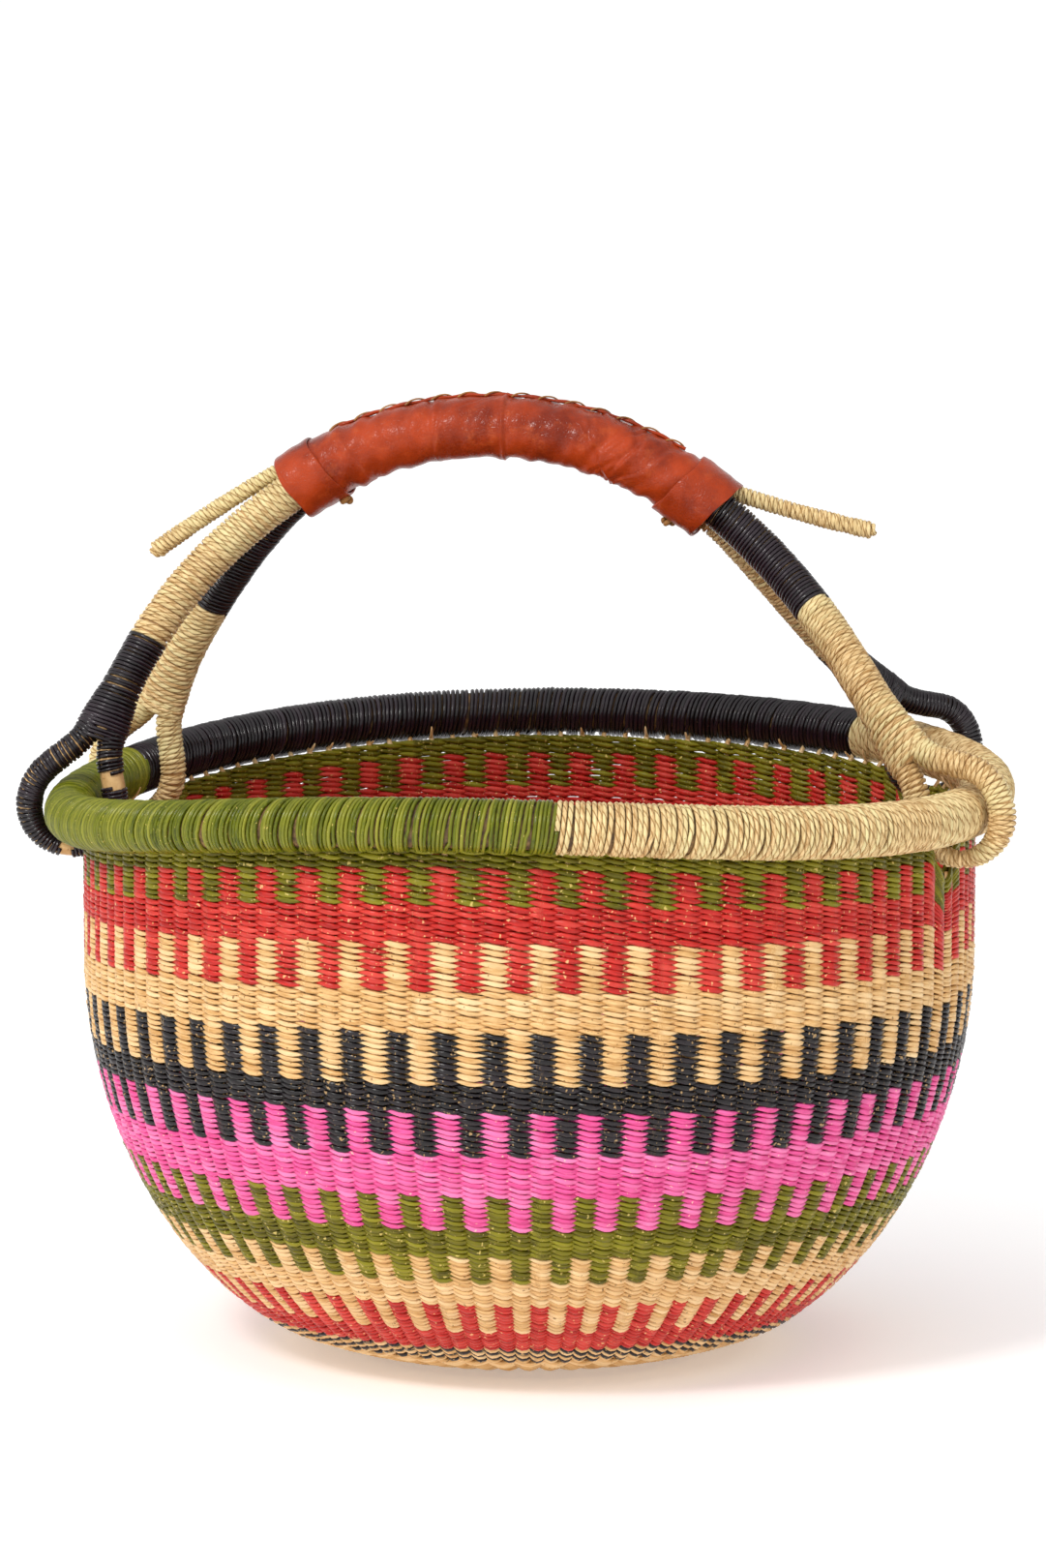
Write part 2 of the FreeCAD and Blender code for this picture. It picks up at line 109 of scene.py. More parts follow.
def bezier(nodes: Array, share: Array) -> Array:
    """Points of a cubic Bezier curve with four nodes, at shares from 0 to 1."""
    s = np.asarray(share, float)
    weights = np.stack([(1 - s) ** 3, 3 * s * (1 - s) ** 2, 3 * s * s * (1 - s), s ** 3], axis=-1)
    return weights @ nodes


def travelled(line: Array) -> Array:
    """Length along a line of points, from its start to each of them."""
    return np.concatenate([[0.0], np.cumsum(np.linalg.norm(np.diff(line, axis=0), axis=1))])


def along_line(line: Array, arc: Array, place: Array) -> Array:
    """Points at given lengths along a line, running on straight past its ends."""
    point = np.stack([np.interp(place, arc, line[:, k]) for k in range(3)], axis=-1)
    before = unit(line[1] - line[0]) * np.minimum(place, 0.0)[:, None]
    after = unit(line[-1] - line[-2]) * np.maximum(place - arc[-1], 0.0)[:, None]
    return point + before + after


def eased(share: Array) -> Array:
    """Carry 0 to 1 onto 0 to 1 with level ends, and hold what lies outside at the ends."""
    share = np.clip(share, 0.0, 1.0)
    return share * share * (3.0 - 2.0 * share)


def stretch(course: Course, low: float, high: float) -> Course:
    """Part of a course between two shares of it."""
    return lambda share: course(low + (high - low) * share)


def steps_of(table: Array, place: Array) -> Array:
    """Values of a table along a line, eased from one entry to the next (cosine steps)."""
    whole = np.floor(place).astype(int)
    share = 0.5 - 0.5 * np.cos(np.pi * (place - whole))
    return table[whole % len(table)] * (1.0 - share) + table[(whole + 1) % len(table)] * share


@dataclass
class Patch:
    """A mesh in the making: points, faces, and each face corner's place in millimetres.

    Attributes:
        points: Points, one row each.
        quads: Four point numbers a face, anticlockwise from outside.
        caps: Faces of more corners that close open ends.
        corner_uv: (along, around) for each corner of the quads, then of the caps.
        tone: One value from 0 to 1 for each point, which tints the finish.
    """

    points: Array
    quads: Array
    caps: Array
    corner_uv: Array
    tone: Array


def sweep(centres: Array, sides: Array, half_side: Array | float, half_up: Array | float,
          facets: int, closed: bool = False, tone: Array | float = EVEN,
          drift: Array | float = 0.0) -> Patch:
    """Carry an oval section along one line, or along many at once.

    The surface is centre + side * a * cos(angle) + up * b * sin(angle), where up is the line's
    tangent crossed with side. The angle starts on the hidden side, opposite to side.

    Args:
        centres: Samples by XYZ, or lines by samples by XYZ.
        sides: The section's first direction.
        half_side: Half size along side.
        half_up: Half size along up.
        facets: Points round the section.
        closed: Whether the last sample joins the first.
        tone: Tint.
        drift: Start of each line's length, so that no two show the same grain.

    Returns:
        The mesh, with open ends capped.
    """
    centres = centres.reshape(-1, *centres.shape[-2:])
    lines, samples = centres.shape[:2]
    half_side, half_up, tone = (np.broadcast_to(value, (lines, samples))
                                for value in (half_side, half_up, tone))
    if closed:
        tangents = np.roll(centres, -1, axis=1) - np.roll(centres, 1, axis=1)
    else:
        tangents = np.gradient(centres, axis=1)
    tangents = unit(tangents)
    sides = np.broadcast_to(sides, centres.shape)
    sides = unit(sides - tangents * np.sum(sides * tangents, axis=-1, keepdims=True))
    ups = np.cross(tangents, sides)
    angle = np.pi + TURN * np.arange(facets) / facets
    ring = (sides[:, :, None] * (half_side[..., None] * np.cos(angle))[..., None]
            + ups[:, :, None] * (half_up[..., None] * np.sin(angle))[..., None])
    points = (centres[:, :, None] + ring).reshape(-1, 3)

    spans = samples if closed else samples - 1
    line, span, facet = np.meshgrid(np.arange(lines), np.arange(spans), np.arange(facets),
                                    indexing="ij")
    here = (line * samples + span) * facets
    following = (line * samples + (span + 1) % samples) * facets
    quads = np.stack([here + facet, here + (facet + 1) % facets,
                      following + (facet + 1) % facets, following + facet], axis=-1)
    run = np.linalg.norm(np.roll(centres, -1, axis=1) - centres, axis=-1)
    travel = np.concatenate([np.zeros((lines, 1)), np.cumsum(run, axis=1)], axis=1)
    travel = travel + np.broadcast_to(drift, lines)[:, None]
    start, end = travel[line, span], travel[line, span + 1]
    low, high = facet / facets, (facet + 1) / facets
    corner_uv = np.stack([np.stack(corner, -1) for corner in
                          ((start, low), (start, high), (end, high), (end, low))],
                         axis=-2).reshape(-1, 2)
    caps = np.zeros((0, facets), int)
    if not closed:
        first = (np.arange(lines) * samples * facets)[:, None] + np.arange(facets)[::-1]
        last = ((np.arange(lines) + 1) * samples - 1)[:, None] * facets + np.arange(facets)
        caps = np.concatenate([first, last])
        corner_uv = np.concatenate([corner_uv, np.zeros((caps.size, 2))])
    return Patch(points, quads.reshape(-1, 4), caps, corner_uv,
                 np.repeat(tone.reshape(-1), facets))


def grid(points: Array, close_rows: bool, close_columns: bool, uv: Array) -> Patch:
    """Skin over a grid of points.

    Args:
        points: Rows by columns by XYZ; a column step crossed with a row step points outwards.
        close_rows: Whether the last row joins the first.
        close_columns: Whether the last column joins the first.
        uv: (along, around) for one more row and column than points has.

    Returns:
        The mesh; open first and last rows are capped.
    """
    rows, columns = points.shape[:2]
    row, column = np.meshgrid(np.arange(rows if close_rows else rows - 1),
                              np.arange(columns if close_columns else columns - 1),
                              indexing="ij")
    below, above = row * columns, (row + 1) % rows * columns
    right = (column + 1) % columns
    quads = np.stack([below + column, below + right, above + right, above + column], axis=-1)
    corner_uv = np.stack([uv[row, column], uv[row, column + 1], uv[row + 1, column + 1],
                          uv[row + 1, column]], axis=-2).reshape(-1, 2)
    caps = np.zeros((0, columns), int)
    if not close_rows:
        caps = np.stack([np.arange(columns)[::-1], (rows - 1) * columns + np.arange(columns)])
        corner_uv = np.concatenate([corner_uv, np.zeros((caps.size, 2))])
    return Patch(points.reshape(-1, 3), quads.reshape(-1, 4), caps, corner_uv,
                 np.full(rows * columns, EVEN))


def joined(patches: list[Patch]) -> Patch:
    """One mesh of several whose caps have the same number of corners."""
    counts = np.cumsum([0] + [len(patch.points) for patch in patches[:-1]])
    quads = np.concatenate([patch.quads + count for patch, count in zip(patches, counts)])
    caps = np.concatenate([patch.caps + count for patch, count in zip(patches, counts)])
    quad_uv = [patch.corner_uv[:patch.quads.size] for patch in patches]
    cap_uv = [patch.corner_uv[patch.quads.size:] for patch in patches]
    return Patch(np.concatenate([patch.points for patch in patches]), quads, caps,
                 np.concatenate(quad_uv + cap_uv),
                 np.concatenate([patch.tone for patch in patches]))


def add_piece(name: str, patch: Patch, finish: bpy.types.Material, body: str, slot: str,
              stands_for: tuple[str, ...] = ()) -> bpy.types.Object:
    """Make a mesh piece of the basket and put it in the frame.

    Args:
        name: The piece's name.
        patch: Its mesh in millimetres.
        finish: Its material.
        body: The moving body that it belongs to.
        slot: Name of the record's material slot for its finish; not used.
        stands_for: Design nodes that it shows in place of.

    Returns:
        The new object.
    """
    mesh = bpy.data.meshes.new(name)
    mesh.vertices.add(len(patch.points))
    mesh.vertices.foreach_set("co", (patch.points * MM).astype(np.float32).ravel())
    corners = np.concatenate([patch.quads.ravel(), patch.caps.ravel()])
    cap_size = patch.caps.shape[1] if len(patch.caps) else 0
    starts = np.concatenate([np.arange(len(patch.quads)) * 4,
                             patch.quads.size + np.arange(len(patch.caps)) * cap_size])
    mesh.loops.add(len(corners))
    mesh.loops.foreach_set("vertex_index", corners.astype(np.int32))
    mesh.polygons.add(len(starts))
    mesh.polygons.foreach_set("loop_start", starts.astype(np.int32))
    mesh.polygons.foreach_set("use_smooth", np.ones(len(starts), bool))
    layer = mesh.uv_layers.new(name="run")
    layer.data.foreach_set("uv", patch.corner_uv.astype(np.float32).ravel())
    tone = mesh.attributes.new("tone", "FLOAT", "POINT")
    tone.data.foreach_set("value", patch.tone.astype(np.float32))
    mesh.materials.append(finish)
    mesh.update()
    mesh.validate()
    piece = bpy.data.objects.new(name, mesh)
    bpy.context.scene.collection.objects.link(piece)
    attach(piece, body)
    if stands_for:
        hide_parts(*stands_for)
    log.info("%s: %d faces on %s", name, len(starts), body)
    return piece


# ---------------------------------------------------------------- finishes

class Paint:
    """A material in the making, with a short call for each node that the finishes share."""

    def __init__(self, name: str) -> None:
        """Start an empty material with a name."""
        self.material = bpy.data.materials.new(name)
        self.material.use_nodes = True
        self.tree = self.material.node_tree
        self.tree.nodes.clear()

    def place(self) -> Socket:
        """The point's place in metres."""
        return add_node(self.tree, "ShaderNodeTexCoord").outputs["Object"]

    def math(self, operation: str, *values: Socket | float) -> Socket:
        """Arithmetic on one to three values."""
        return add_node(self.tree, "ShaderNodeMath", dict(enumerate(values)),
                        operation=operation).outputs[0]

    def noise(self, vector: Socket, scale: float, detail: float, roughness: float = 0.5) -> Socket:
        """Cloudy noise from 0 to 1."""
        return add_node(self.tree, "ShaderNodeTexNoise",
                        {"Vector": vector, "Scale": scale, "Detail": detail,
                         "Roughness": roughness}).outputs[0]

    def ramp(self, value: Socket, low: float, high: float, least: float = 0.0,
             most: float = 1.0) -> Socket:
        """Carry the values from low to high to those from least to most."""
        return add_node(self.tree, "ShaderNodeMapRange",
                        {0: value, 1: low, 2: high, 3: least, 4: most}).outputs[0]

    def blend(self, share: Socket, first: Socket | str, second: Socket | str) -> Socket:
        """Go from one colour to another, each a socket or an sRGB hex value."""
        a, b = (linear(colour) if isinstance(colour, str) else colour
                for colour in (first, second))
        return add_node(self.tree, "ShaderNodeMix", {0: share, 6: a, 7: b},
                        data_type="RGBA").outputs[2]

    def finish(self, colour: Socket, roughness: Socket | float, shine: float, height: Socket,
               strength: float, depth: float) -> bpy.types.Material:
        """Close the material.

        Args:
            colour: Base colour.
            roughness: Roughness.
            shine: Specular level.
            height: Height of the bumps.
            strength: Their strength.
            depth: Their depth in metres.

        Returns:
            The material.
        """
        bump = add_node(self.tree, "ShaderNodeBump",
                        {"Strength": strength, "Distance": depth, "Height": height})
        shader = add_node(self.tree, "ShaderNodeBsdfPrincipled",
                          {"Base Color": colour, "Roughness": roughness,
                           "Specular IOR Level": shine, "Normal": bump.outputs[0]})
        add_node(self.tree, "ShaderNodeOutputMaterial", {0: shader.outputs[0]})
        return self.material


FIBRE_LENGTH = 8.0                  # millimetres along the blade
FIBRES_AROUND = 6.0                 # to one way round it
BLADE_SPREAD = 57.0                 # how far apart in the noise two tones of blade are
SPOT_STRETCH = (5.0, 0.6, 3.0)      # a spot's noise against the fibres': along, around, blades


@dataclass(frozen=True)
class Grass:
    """Split elephant grass, twisted and dyed: a dry satin blade with fibres along it.

    Attributes:
        name: The finish's name.
        colour: Its middle colour.
        deep: The colour of its darker fibres, and the painted shade in a cord's ply grooves.
        light: The colour of paler blades.
        fleck: The colour of bruised or undyed spots.
        flecks: Threshold above which a spot shows; nearer 1 is fewer.
        roughness: Satin where the blade's waxy skin is whole.
        ply: Length in millimetres of one turn of a two-ply cord, or 0 for a single blade.
        Its grooves are painted darker, in the deep colour, as shade.
        shine: Specular level; black dye dulls the blade's waxy skin.
    """

    name: str
    colour: str
    deep: str
    light: str
    fleck: str
    flecks: float = 0.68
    roughness: float = 0.42
    ply: float = 0.0
    shine: float = 0.5

    def build(self) -> bpy.types.Material:
        """Make the material.

        Fibres are noise drawn out along the blade, 8 mm long and a sixth of the way round it. A
        two-ply cord's grooves are lines of constant (length / ply + way round); they are painted
        darker in the deep colour as shade, and sunk with the bump.

        Returns:
            The material.
        """
        paint = Paint(self.name)
        tree = paint.tree
        run = add_node(tree, "ShaderNodeUVMap", uv_map="run").outputs[0]
        tone = add_node(tree, "ShaderNodeAttribute", attribute_name="tone").outputs["Fac"]
        along, around = add_node(tree, "ShaderNodeSeparateXYZ", {0: run}).outputs[:2]
        place = add_node(tree, "ShaderNodeCombineXYZ",
                         {0: paint.math("MULTIPLY", along, 1.0 / FIBRE_LENGTH),
                          1: paint.math("MULTIPLY", around, FIBRES_AROUND),
                          2: paint.math("MULTIPLY", tone, BLADE_SPREAD)}).outputs[0]
        fibres = paint.noise(place, 1.0, 3.0, 0.65)
        shade = paint.blend(paint.ramp(fibres, 0.33, 0.62), self.deep, self.colour)
        shade = paint.blend(paint.ramp(tone, 0.35, 1.0, most=0.85), shade, self.light)
        spots = add_node(tree, "ShaderNodeVectorMath", {0: place, 1: SPOT_STRETCH},
                         operation="MULTIPLY").outputs[0]
        spotted = paint.ramp(paint.noise(spots, 1.0, 1.0), self.flecks, self.flecks + 0.04,
                             most=0.85)
        shade = paint.blend(spotted, shade, self.fleck)
        height = fibres
        if self.ply:
            turns = paint.math("MULTIPLY_ADD", along, 1.0 / self.ply, around)
            wave = paint.math("SINE", paint.math("MULTIPLY", turns, TURN))
            # Painted shade in the ply grooves: the deep colour is blended in where the wave is near
            # 0, and the same mask sinks the bump.
            ply_groove_shade = paint.ramp(paint.math("ABSOLUTE", wave), 0.04, 0.42)
            shade = paint.blend(ply_groove_shade, self.deep, shade)
            height = paint.math("MULTIPLY_ADD", ply_groove_shade, 2.0, fibres)
        return paint.finish(shade, self.roughness, self.shine, height, 0.6, 0.0004)


@dataclass(frozen=True)
class Stalks:
    """Bare grass stalks in a bundle: pale, matt, streaked, but painted darker as shade.

    They hide under the wrapping, and show only in its shaded gaps.
    """

    name: str = "bare_stalks"
    # Mid brown, darker than bare grass: painted shade for the gaps between the wrapping's turns.
    colour: str = "8f6f42"
    deep: str = "4f3a22"

    def build(self) -> bpy.types.Material:
        """Make the material: blotches of dry stalk, 3 mm across."""
        paint = Paint(self.name)
        blotches = paint.noise(paint.place(), 330.0, 2.0)
        shade = paint.blend(paint.ramp(blotches, 0.35, 0.65), self.deep, self.colour)
        return paint.finish(shade, 0.6, 0.5, blotches, 0.4, 0.0004)


@dataclass(frozen=True)
class Leather:
    """Vegetable-tanned goatskin, rubbed with oil: glossy, with a fine pebbled grain.

    Attributes:
        name: The finish's name.
        colour: Its middle colour.
        deep: Where the dye has gathered.
        worn: Where the dye has rubbed off.
        grain: Size of one pebble of the grain, in millimetres.
    """

    name: str = "tanned_goatskin"
    colour: str = "aa3a10"
    deep: str = "78230a"
    worn: str = "c05526"
    grain: float = 1.3

    def build(self) -> bpy.types.Material:
        """Make the material: cloudy dye, rubbed spots and a pebbled grain."""
        paint = Paint(self.name)
        place = paint.place()
        cloud = paint.noise(place, 38.0, 4.0, 0.6)
        rub = paint.noise(place, 140.0, 5.0, 0.7)
        shade = paint.blend(paint.ramp(cloud, 0.32, 0.58), self.deep, self.colour)
        shade = paint.blend(paint.ramp(rub, 0.54, 0.72, most=0.45), shade, self.worn)
        edges = add_node(paint.tree, "ShaderNodeTexVoronoi",
                         {"Vector": place, "Scale": 1.0 / (self.grain * MM)},
                         feature="DISTANCE_TO_EDGE").outputs[0]
        height = paint.math("MULTIPLY_ADD", paint.ramp(edges, 0.0, 0.12), 0.35, rub)
        gloss = paint.ramp(cloud, 0.3, 0.7, 0.2, 0.4)
        return paint.finish(shade, gloss, 0.24, height, 0.45, 0.0005)


class Dye(Enum):
    """Finishes of the grass: the bowl's stitches, and the blades and cords that wrap the hoops."""

    NATURAL = Grass("natural_stitches", "e6bc80", "bd8a4a", "f2d3a0", "7d5527",
                    0.70, 0.42, 0.0, 0.34)
    GREEN = Grass("green_stitches", "6c6606", "453f03", "938c20", "d2bb6a",
                  0.67, 0.34, 0.0, 0.22)
    RED = Grass("red_stitches", "c6261f", "9a150f", "dc4a3e", "e8b57c", 0.68, 0.35, 0.0, 0.30)
    BLACK = Grass("black_stitches", "140e10", "070405", "231a1f", "b08f60",
                  0.66, 0.26, 0.0, 0.40)
    PINK = Grass("pink_stitches", "ee5a9e", "cc3c7c", "f488bb", "f3c3ad", 0.71, 0.38, 0.0, 0.34)
    # The natural cord's deep colour also paints the shade in its ply grooves.
    NATURAL_CORD = Grass("natural_cord", "f0d29c", "ab8048", "e6dba4", "9a7440",
                         0.74, 0.45, 11.0, 0.28)
    GREEN_BLADE = Grass("green_blades", "6b720c", "3d4604", "9c9a34", "cdb865",
                        0.71, 0.28, 0.0, 0.30)
    BLACK_BLADE = Grass("black_blades", "190f15", "070406", "2b1d27", "4d3c30",
                        0.76, 0.24, 0.0, 0.45)

    @property
    def slot(self) -> str:
        """The record's material slot, which is the same for stitches, blades and cords."""
        return "grass_" + self.name.split("_")[0].lower()


def add_grass(name: str, patch: Patch, dye: Dye, body: str, stands_for: str) -> None:
    """Add a piece of one dye of grass, which stands for one design node."""
    add_piece(name, patch, FINISHES[dye], body, dye.slot, (stands_for,))


def add_leather(name: str, patch: Patch, finish: bpy.types.Material, *stands_for: str) -> None:
    """Add a piece of the grip's leather, which stands for some design nodes."""
    add_piece(name, patch, finish, "handle", "leather", stands_for)


# ---------------------------------------------------------------- shared shape

@dataclass(frozen=True)
class Shape:
    """Sizes and surfaces that the bowl, the rim and the handle share, in millimetres.

    Attributes:
        rim_radius: Radius of the rim's centre line.
        rim_tube: Radius of the wrapped rim.
        tilt: Height of the rim's first wave.
        saddle: Height of its second wave, crests at front and back.
        ripple: Height of its third wave.
        tilt_at: Azimuth of a crest of the first and third waves, in degrees.
        saddle_at: Azimuth of a crest of the second.
        rim_gap: Space between the top row and the rim.
        wall_inset: The wall's radius less than the rim's.
        wall_thickness: Weave from its outer to its inner face.
        wall_top: Mean height of the top row.
        base_height: Height at which the base meets the first row.
        base_flat: Radius of the base's flat middle.
        stakes: Stakes round the bowl.
        first_stake: Azimuth of an even stake, in degrees.
        loops: Azimuths of the handle's loops, in degrees.
        loop_push: How far a loop pushes the top row down.
        loop_bell: Width of the bell-shaped dip at a loop.
        loop_fade: Depth under the top row at which the dip is half as deep.
        belly: Height of the bowl's widest row, as a share of the top row's.
    """

    rim_radius: float = 209.0
    rim_tube: float = 12.0
    tilt: float = 3.6
    saddle: float = 7.4
    ripple: float = 2.2
    tilt_at: float = 12.0
    saddle_at: float = 82.0
    rim_gap: float = 2.6
    wall_inset: float = 5.7
    wall_thickness: float = 5.0
    wall_top: float = 244.5
    base_height: float = 14.4
    base_flat: float = 45.0
    stakes: int = 120
    first_stake: float = 271.6
    loops: tuple[float, ...] = (178.0, 152.0, -24.0, 25.0)
    loop_push: float = 19.0
    loop_bell: float = 8.5
    loop_fade: float = 25.0
    belly: float = 0.753

    def wave(self, azimuth: Array) -> Array:
        """Rise of the rim above its mean: three cosines of the azimuth, once, twice and thrice."""
        from_tilt = azimuth - math.radians(self.tilt_at)
        from_saddle = azimuth - math.radians(self.saddle_at)
        return (self.tilt * np.cos(from_tilt) + self.saddle * np.cos(2.0 * from_saddle)
                + self.ripple * np.cos(3.0 * from_tilt))

    def rim_point(self, azimuth: Array) -> Array:
        """Points of the rim's centre line."""
        height = self.wall_top + self.rim_gap + self.rim_tube + self.wave(azimuth)
        return outward(azimuth) * self.rim_radius + UP * height[..., None]

    def outline(self, level: Array) -> Array:
        """Radius of the bowl at a height: a squared-off half oval, upright above its belly."""
        belly = self.belly * self.wall_top
        drop = np.clip((belly - level) / (1.0706 * belly), 0.0, 0.999) ** 0.95
        return (self.rim_radius - self.wall_inset) * np.sqrt(1.0 - drop * drop) ** 0.7576

    def base_rise(self, radius: Array) -> Array:
        """Height of the base's underside: flat in the middle, then the 2.2th power of the way."""
        edge = float(self.outline(np.array(self.base_height)))
        share = np.clip((radius - self.base_flat) / (edge - self.base_flat), 0.0, 1.0)
        return self.base_height * share ** 2.2

    def sink(self, level: Array, azimuth: Array) -> tuple[Array, Array]:
        """How far the handle's loops push the rows down.

        A bell round each loop, fading as 1 / (1 + (depth / loop_fade)^2) below the top row.

        Args:
            level: Mean heights of the rows.
            azimuth: Azimuths in radians.

        Returns:
            The push in millimetres, and the share of a row's height that is left.
        """
        push = np.zeros(np.broadcast(level, azimuth).shape)
        for loop in self.loops:
            away = np.angle(np.exp(1j * (azimuth - math.radians(loop)))) * self.rim_radius
            push = push + self.loop_push * np.exp(-0.5 * (away / self.loop_bell) ** 2)
        depth = (self.wall_top - level) / self.loop_fade
        fade = 1.0 / (1.0 + depth ** 2)
        return push * fade, 1.0 - push * 2.0 * np.abs(depth) * fade ** 2 / self.loop_fade

    def wall(self, level: Array, azimuth: Array) -> tuple[Array, Array, Array]:
        """Middle of the weave.

        Args:
            level: Mean heights of the rows.
            azimuth: Azimuths in radians.

        Returns:
            Points, outward normals and directions up the wall.
        """
        level, azimuth = np.broadcast_arrays(level, azimuth)
        slope = self.outline(level + 0.5) - self.outline(level - 0.5)
        length = np.hypot(1.0, slope)[..., None]
        normal = (outward(azimuth) - UP * slope[..., None]) / length
        climb = (outward(azimuth) * slope[..., None] + UP) / length
        share = np.clip((level - self.base_height) / (self.wall_top - self.base_height), 0.0, 1.0)
        follow = 0.35 * np.sqrt(share) + 0.65 * share ** 5
        push, _ = self.sink(level, azimuth)
        height = level + follow * self.wave(azimuth) - push
        point = outward(azimuth) * self.outline(level)[..., None] + UP * height[..., None]
        return point - normal * (0.5 * self.wall_thickness), normal, climb


# ---------------------------------------------------------------- the bowl

@dataclass(frozen=True)
class Band:
    """One colour of the bowl, named as its design node.

    Between two bands the lower colour keeps the even stakes and the upper one the odd stakes, so
    that their teeth interlock.
    """

    node: str
    dye: Dye
    low: float
    high: float


BANDS = (
    Band("weave_red_lower", Dye.RED, 21.2, 30.9),
    Band("weave_natural_lower", Dye.NATURAL, 45.4, 57.0),
    Band("weave_green_lower", Dye.GREEN, 70.7, 83.5),
    Band("weave_pink", Dye.PINK, 100.5, 118.9),
    Band("weave_black", Dye.BLACK, 137.2, 151.3),
    Band("weave_natural_upper", Dye.NATURAL, 172.2, 190.5),
    Band("weave_red_upper", Dye.RED, 209.3, 224.2),
    Band("weave_green_upper", Dye.GREEN, 241.0, 244.5),
)


@dataclass
class Bowl:
    """The twined bowl: stakes that run up the wall, and pairs of strands that cross between them.

    Attributes:
        shape: The basket's shared shape.
        row_pitch: Height of one row along the wall.
        strand_half: Half the height of a strand where it passes over a stake.
        strand_thin: Half its thickness.
        reach: How far its middle stands off the stakes' middle.
        twist: How far it climbs and falls as the two strands of a row cross.
        overlap: How far the rows go on into the rim.
        loop_room: Distance from a loop within which a stake ends at the top row.
        run_in: How far the other stakes go into the rim, as a share of the way to its middle.
        bent_share: Share of them whose tips bend up against the rim instead.
        bent_from: Angle under the rim from which a bent tip shows, in degrees.
        bent_to: Least and most length of a bent tip, in degrees round the rim.
        stake_half: Half a stake's width inside the weave.
        sheet: Thickness of the layer of crossed stakes inside the base.
        underside: Height of that layer's top over the base's underside.
        samples: Points of a strand to each stake.
        facets: Points round a strand.
    """

    shape: Shape
    row_pitch: float = 2.5
    strand_half: float = 1.5
    strand_thin: float = 0.9
    reach: float = 1.75
    twist: float = 0.72
    overlap: float = 0.9
    loop_room: float = 12.0
    run_in: float = 0.45
    bent_share: float = 0.45
    bent_from: float = 24.0
    bent_to: tuple[float, float] = (16.0, 52.0)
    stake_half: float = 1.1
    sheet: float = 1.2
    underside: float = 3.1
    samples: int = 4
    facets: int = 5

    def row_levels(self) -> Array:
        """Mean heights of the rows, evenly spaced along the wall's outline."""
        shape = self.shape
        level = np.linspace(shape.base_height, shape.wall_top + shape.rim_gap + self.overlap, 900)
        arc = travelled(np.stack([level, shape.outline(level)], axis=-1))
        count = int(round(arc[-1] / self.row_pitch))
        return np.interp((np.arange(count) + 0.5) / count * arc[-1], arc, level)

    def strands(self, levels: Array, phases: Array, seed: int) -> Patch:
        """Rings of strand round the wall.

        With t counted in stakes, a strand's middle stands reach * cos(pi * (t - phase)) off the
        weave and falls twist * sin(pi * (t - phase)) as it passes to the right.

        Args:
            levels: Mean height of each ring.
            phases: 0 where the ring passes outside the even stakes, 1 for the odd ones.
            seed: Seed of the hand's unevenness.

        Returns:
            The mesh.
        """
        rng = np.random.default_rng(seed)
        shape, count = self.shape, len(levels)
        stake = np.arange(shape.stakes * self.samples) / self.samples
        lean = np.random.default_rng(7).normal(0.0, 0.07, shape.stakes)
        sway = steps_of(lean, stake)
        azimuth = math.radians(shape.first_stake) + TURN / shape.stakes * (stake + sway)
        level = np.broadcast_to(levels[:, None], (count, len(stake)))
        around = TURN * stake / shape.stakes
        wander = sum(0.35 / k * np.sin(k * around + rng.uniform(0.0, TURN, (count, 1)))
                     for k in (2, 5, 9))
        centre, normal, climb = shape.wall(level + wander, azimuth)
        _, left = shape.sink(level, azimuth)
        turn = np.pi * (stake - phases[:, None])
        stitches = shape.stakes // 2
        stitch = np.floor((stake - phases[:, None] + 1.0) / 2.0).astype(int) % stitches
        size = 1.0 + 0.11 * np.take_along_axis(rng.normal(size=(count, stitches)), stitch, axis=1)
        over = np.cos(turn)
        proud = 0.12 * np.take_along_axis(rng.normal(size=(count, stitches)), stitch, axis=1)
        middle = (centre + normal * (over * (self.reach + proud * np.abs(over)))[..., None]
                  - climb * (self.twist * np.sin(turn))[..., None])
        height = self.strand_half * left * size * (0.55 + 0.45 * np.abs(over))
        blade_tone = rng.uniform(0.0, 1.0, (count, 24))[:, (stake * 0.2).astype(int) % 24]
        stitch_tone = np.take_along_axis(rng.uniform(size=(count, stitches)), stitch, axis=1)
        return sweep(middle, normal, self.strand_thin, height, self.facets, True,
                     0.7 * blade_tone + 0.3 * stitch_tone, rng.uniform(0.0, 900.0, count))

    def coloured_rings(self) -> dict[str, list[tuple[float, int]]]:
        """Share the rows out among the bands.

        Returns:
            For each band's node, the (level, phase) of its rings.
        """
        rings: dict[str, list[tuple[float, int]]] = {band.node: [] for band in BANDS}
        for level in self.row_levels():
            if level < BANDS[0].low:
                continue
            lower = max((band for band in BANDS if band.low <= level), key=lambda band: band.low)
            solid = level <= lower.high or lower is BANDS[-1]
            upper = lower if solid else BANDS[BANDS.index(lower) + 1]
            rings[lower.node].append((level, 0))
            rings[upper.node].append((level, 1))
        return rings

    def build_wall(self) -> None:
        """Weave the coloured bands and the zigzag rows under them."""
        for seed, (node, rings) in enumerate(self.coloured_rings().items()):
            dye = next(band.dye for band in BANDS if band.node == node)
            levels, phases = np.array(rings).T
            add_grass(node.replace("weave_", "") + "_strands", self.strands(levels, phases, seed),
                      dye, "basket", node)
        low = np.array([level for level in self.row_levels() if level < BANDS[0].low])
        turns = np.arange(len(low)) % 2
        for name, dye, phases, seed in (("zigzag_black_strands", Dye.BLACK, turns, 41),
                                        ("zigzag_natural_strands", Dye.NATURAL, 1 - turns, 42)):
            add_piece(name, self.strands(low, phases, seed), FINISHES[dye], "basket",
                      "grass_zigzag", ("weave_zigzag_rows",))

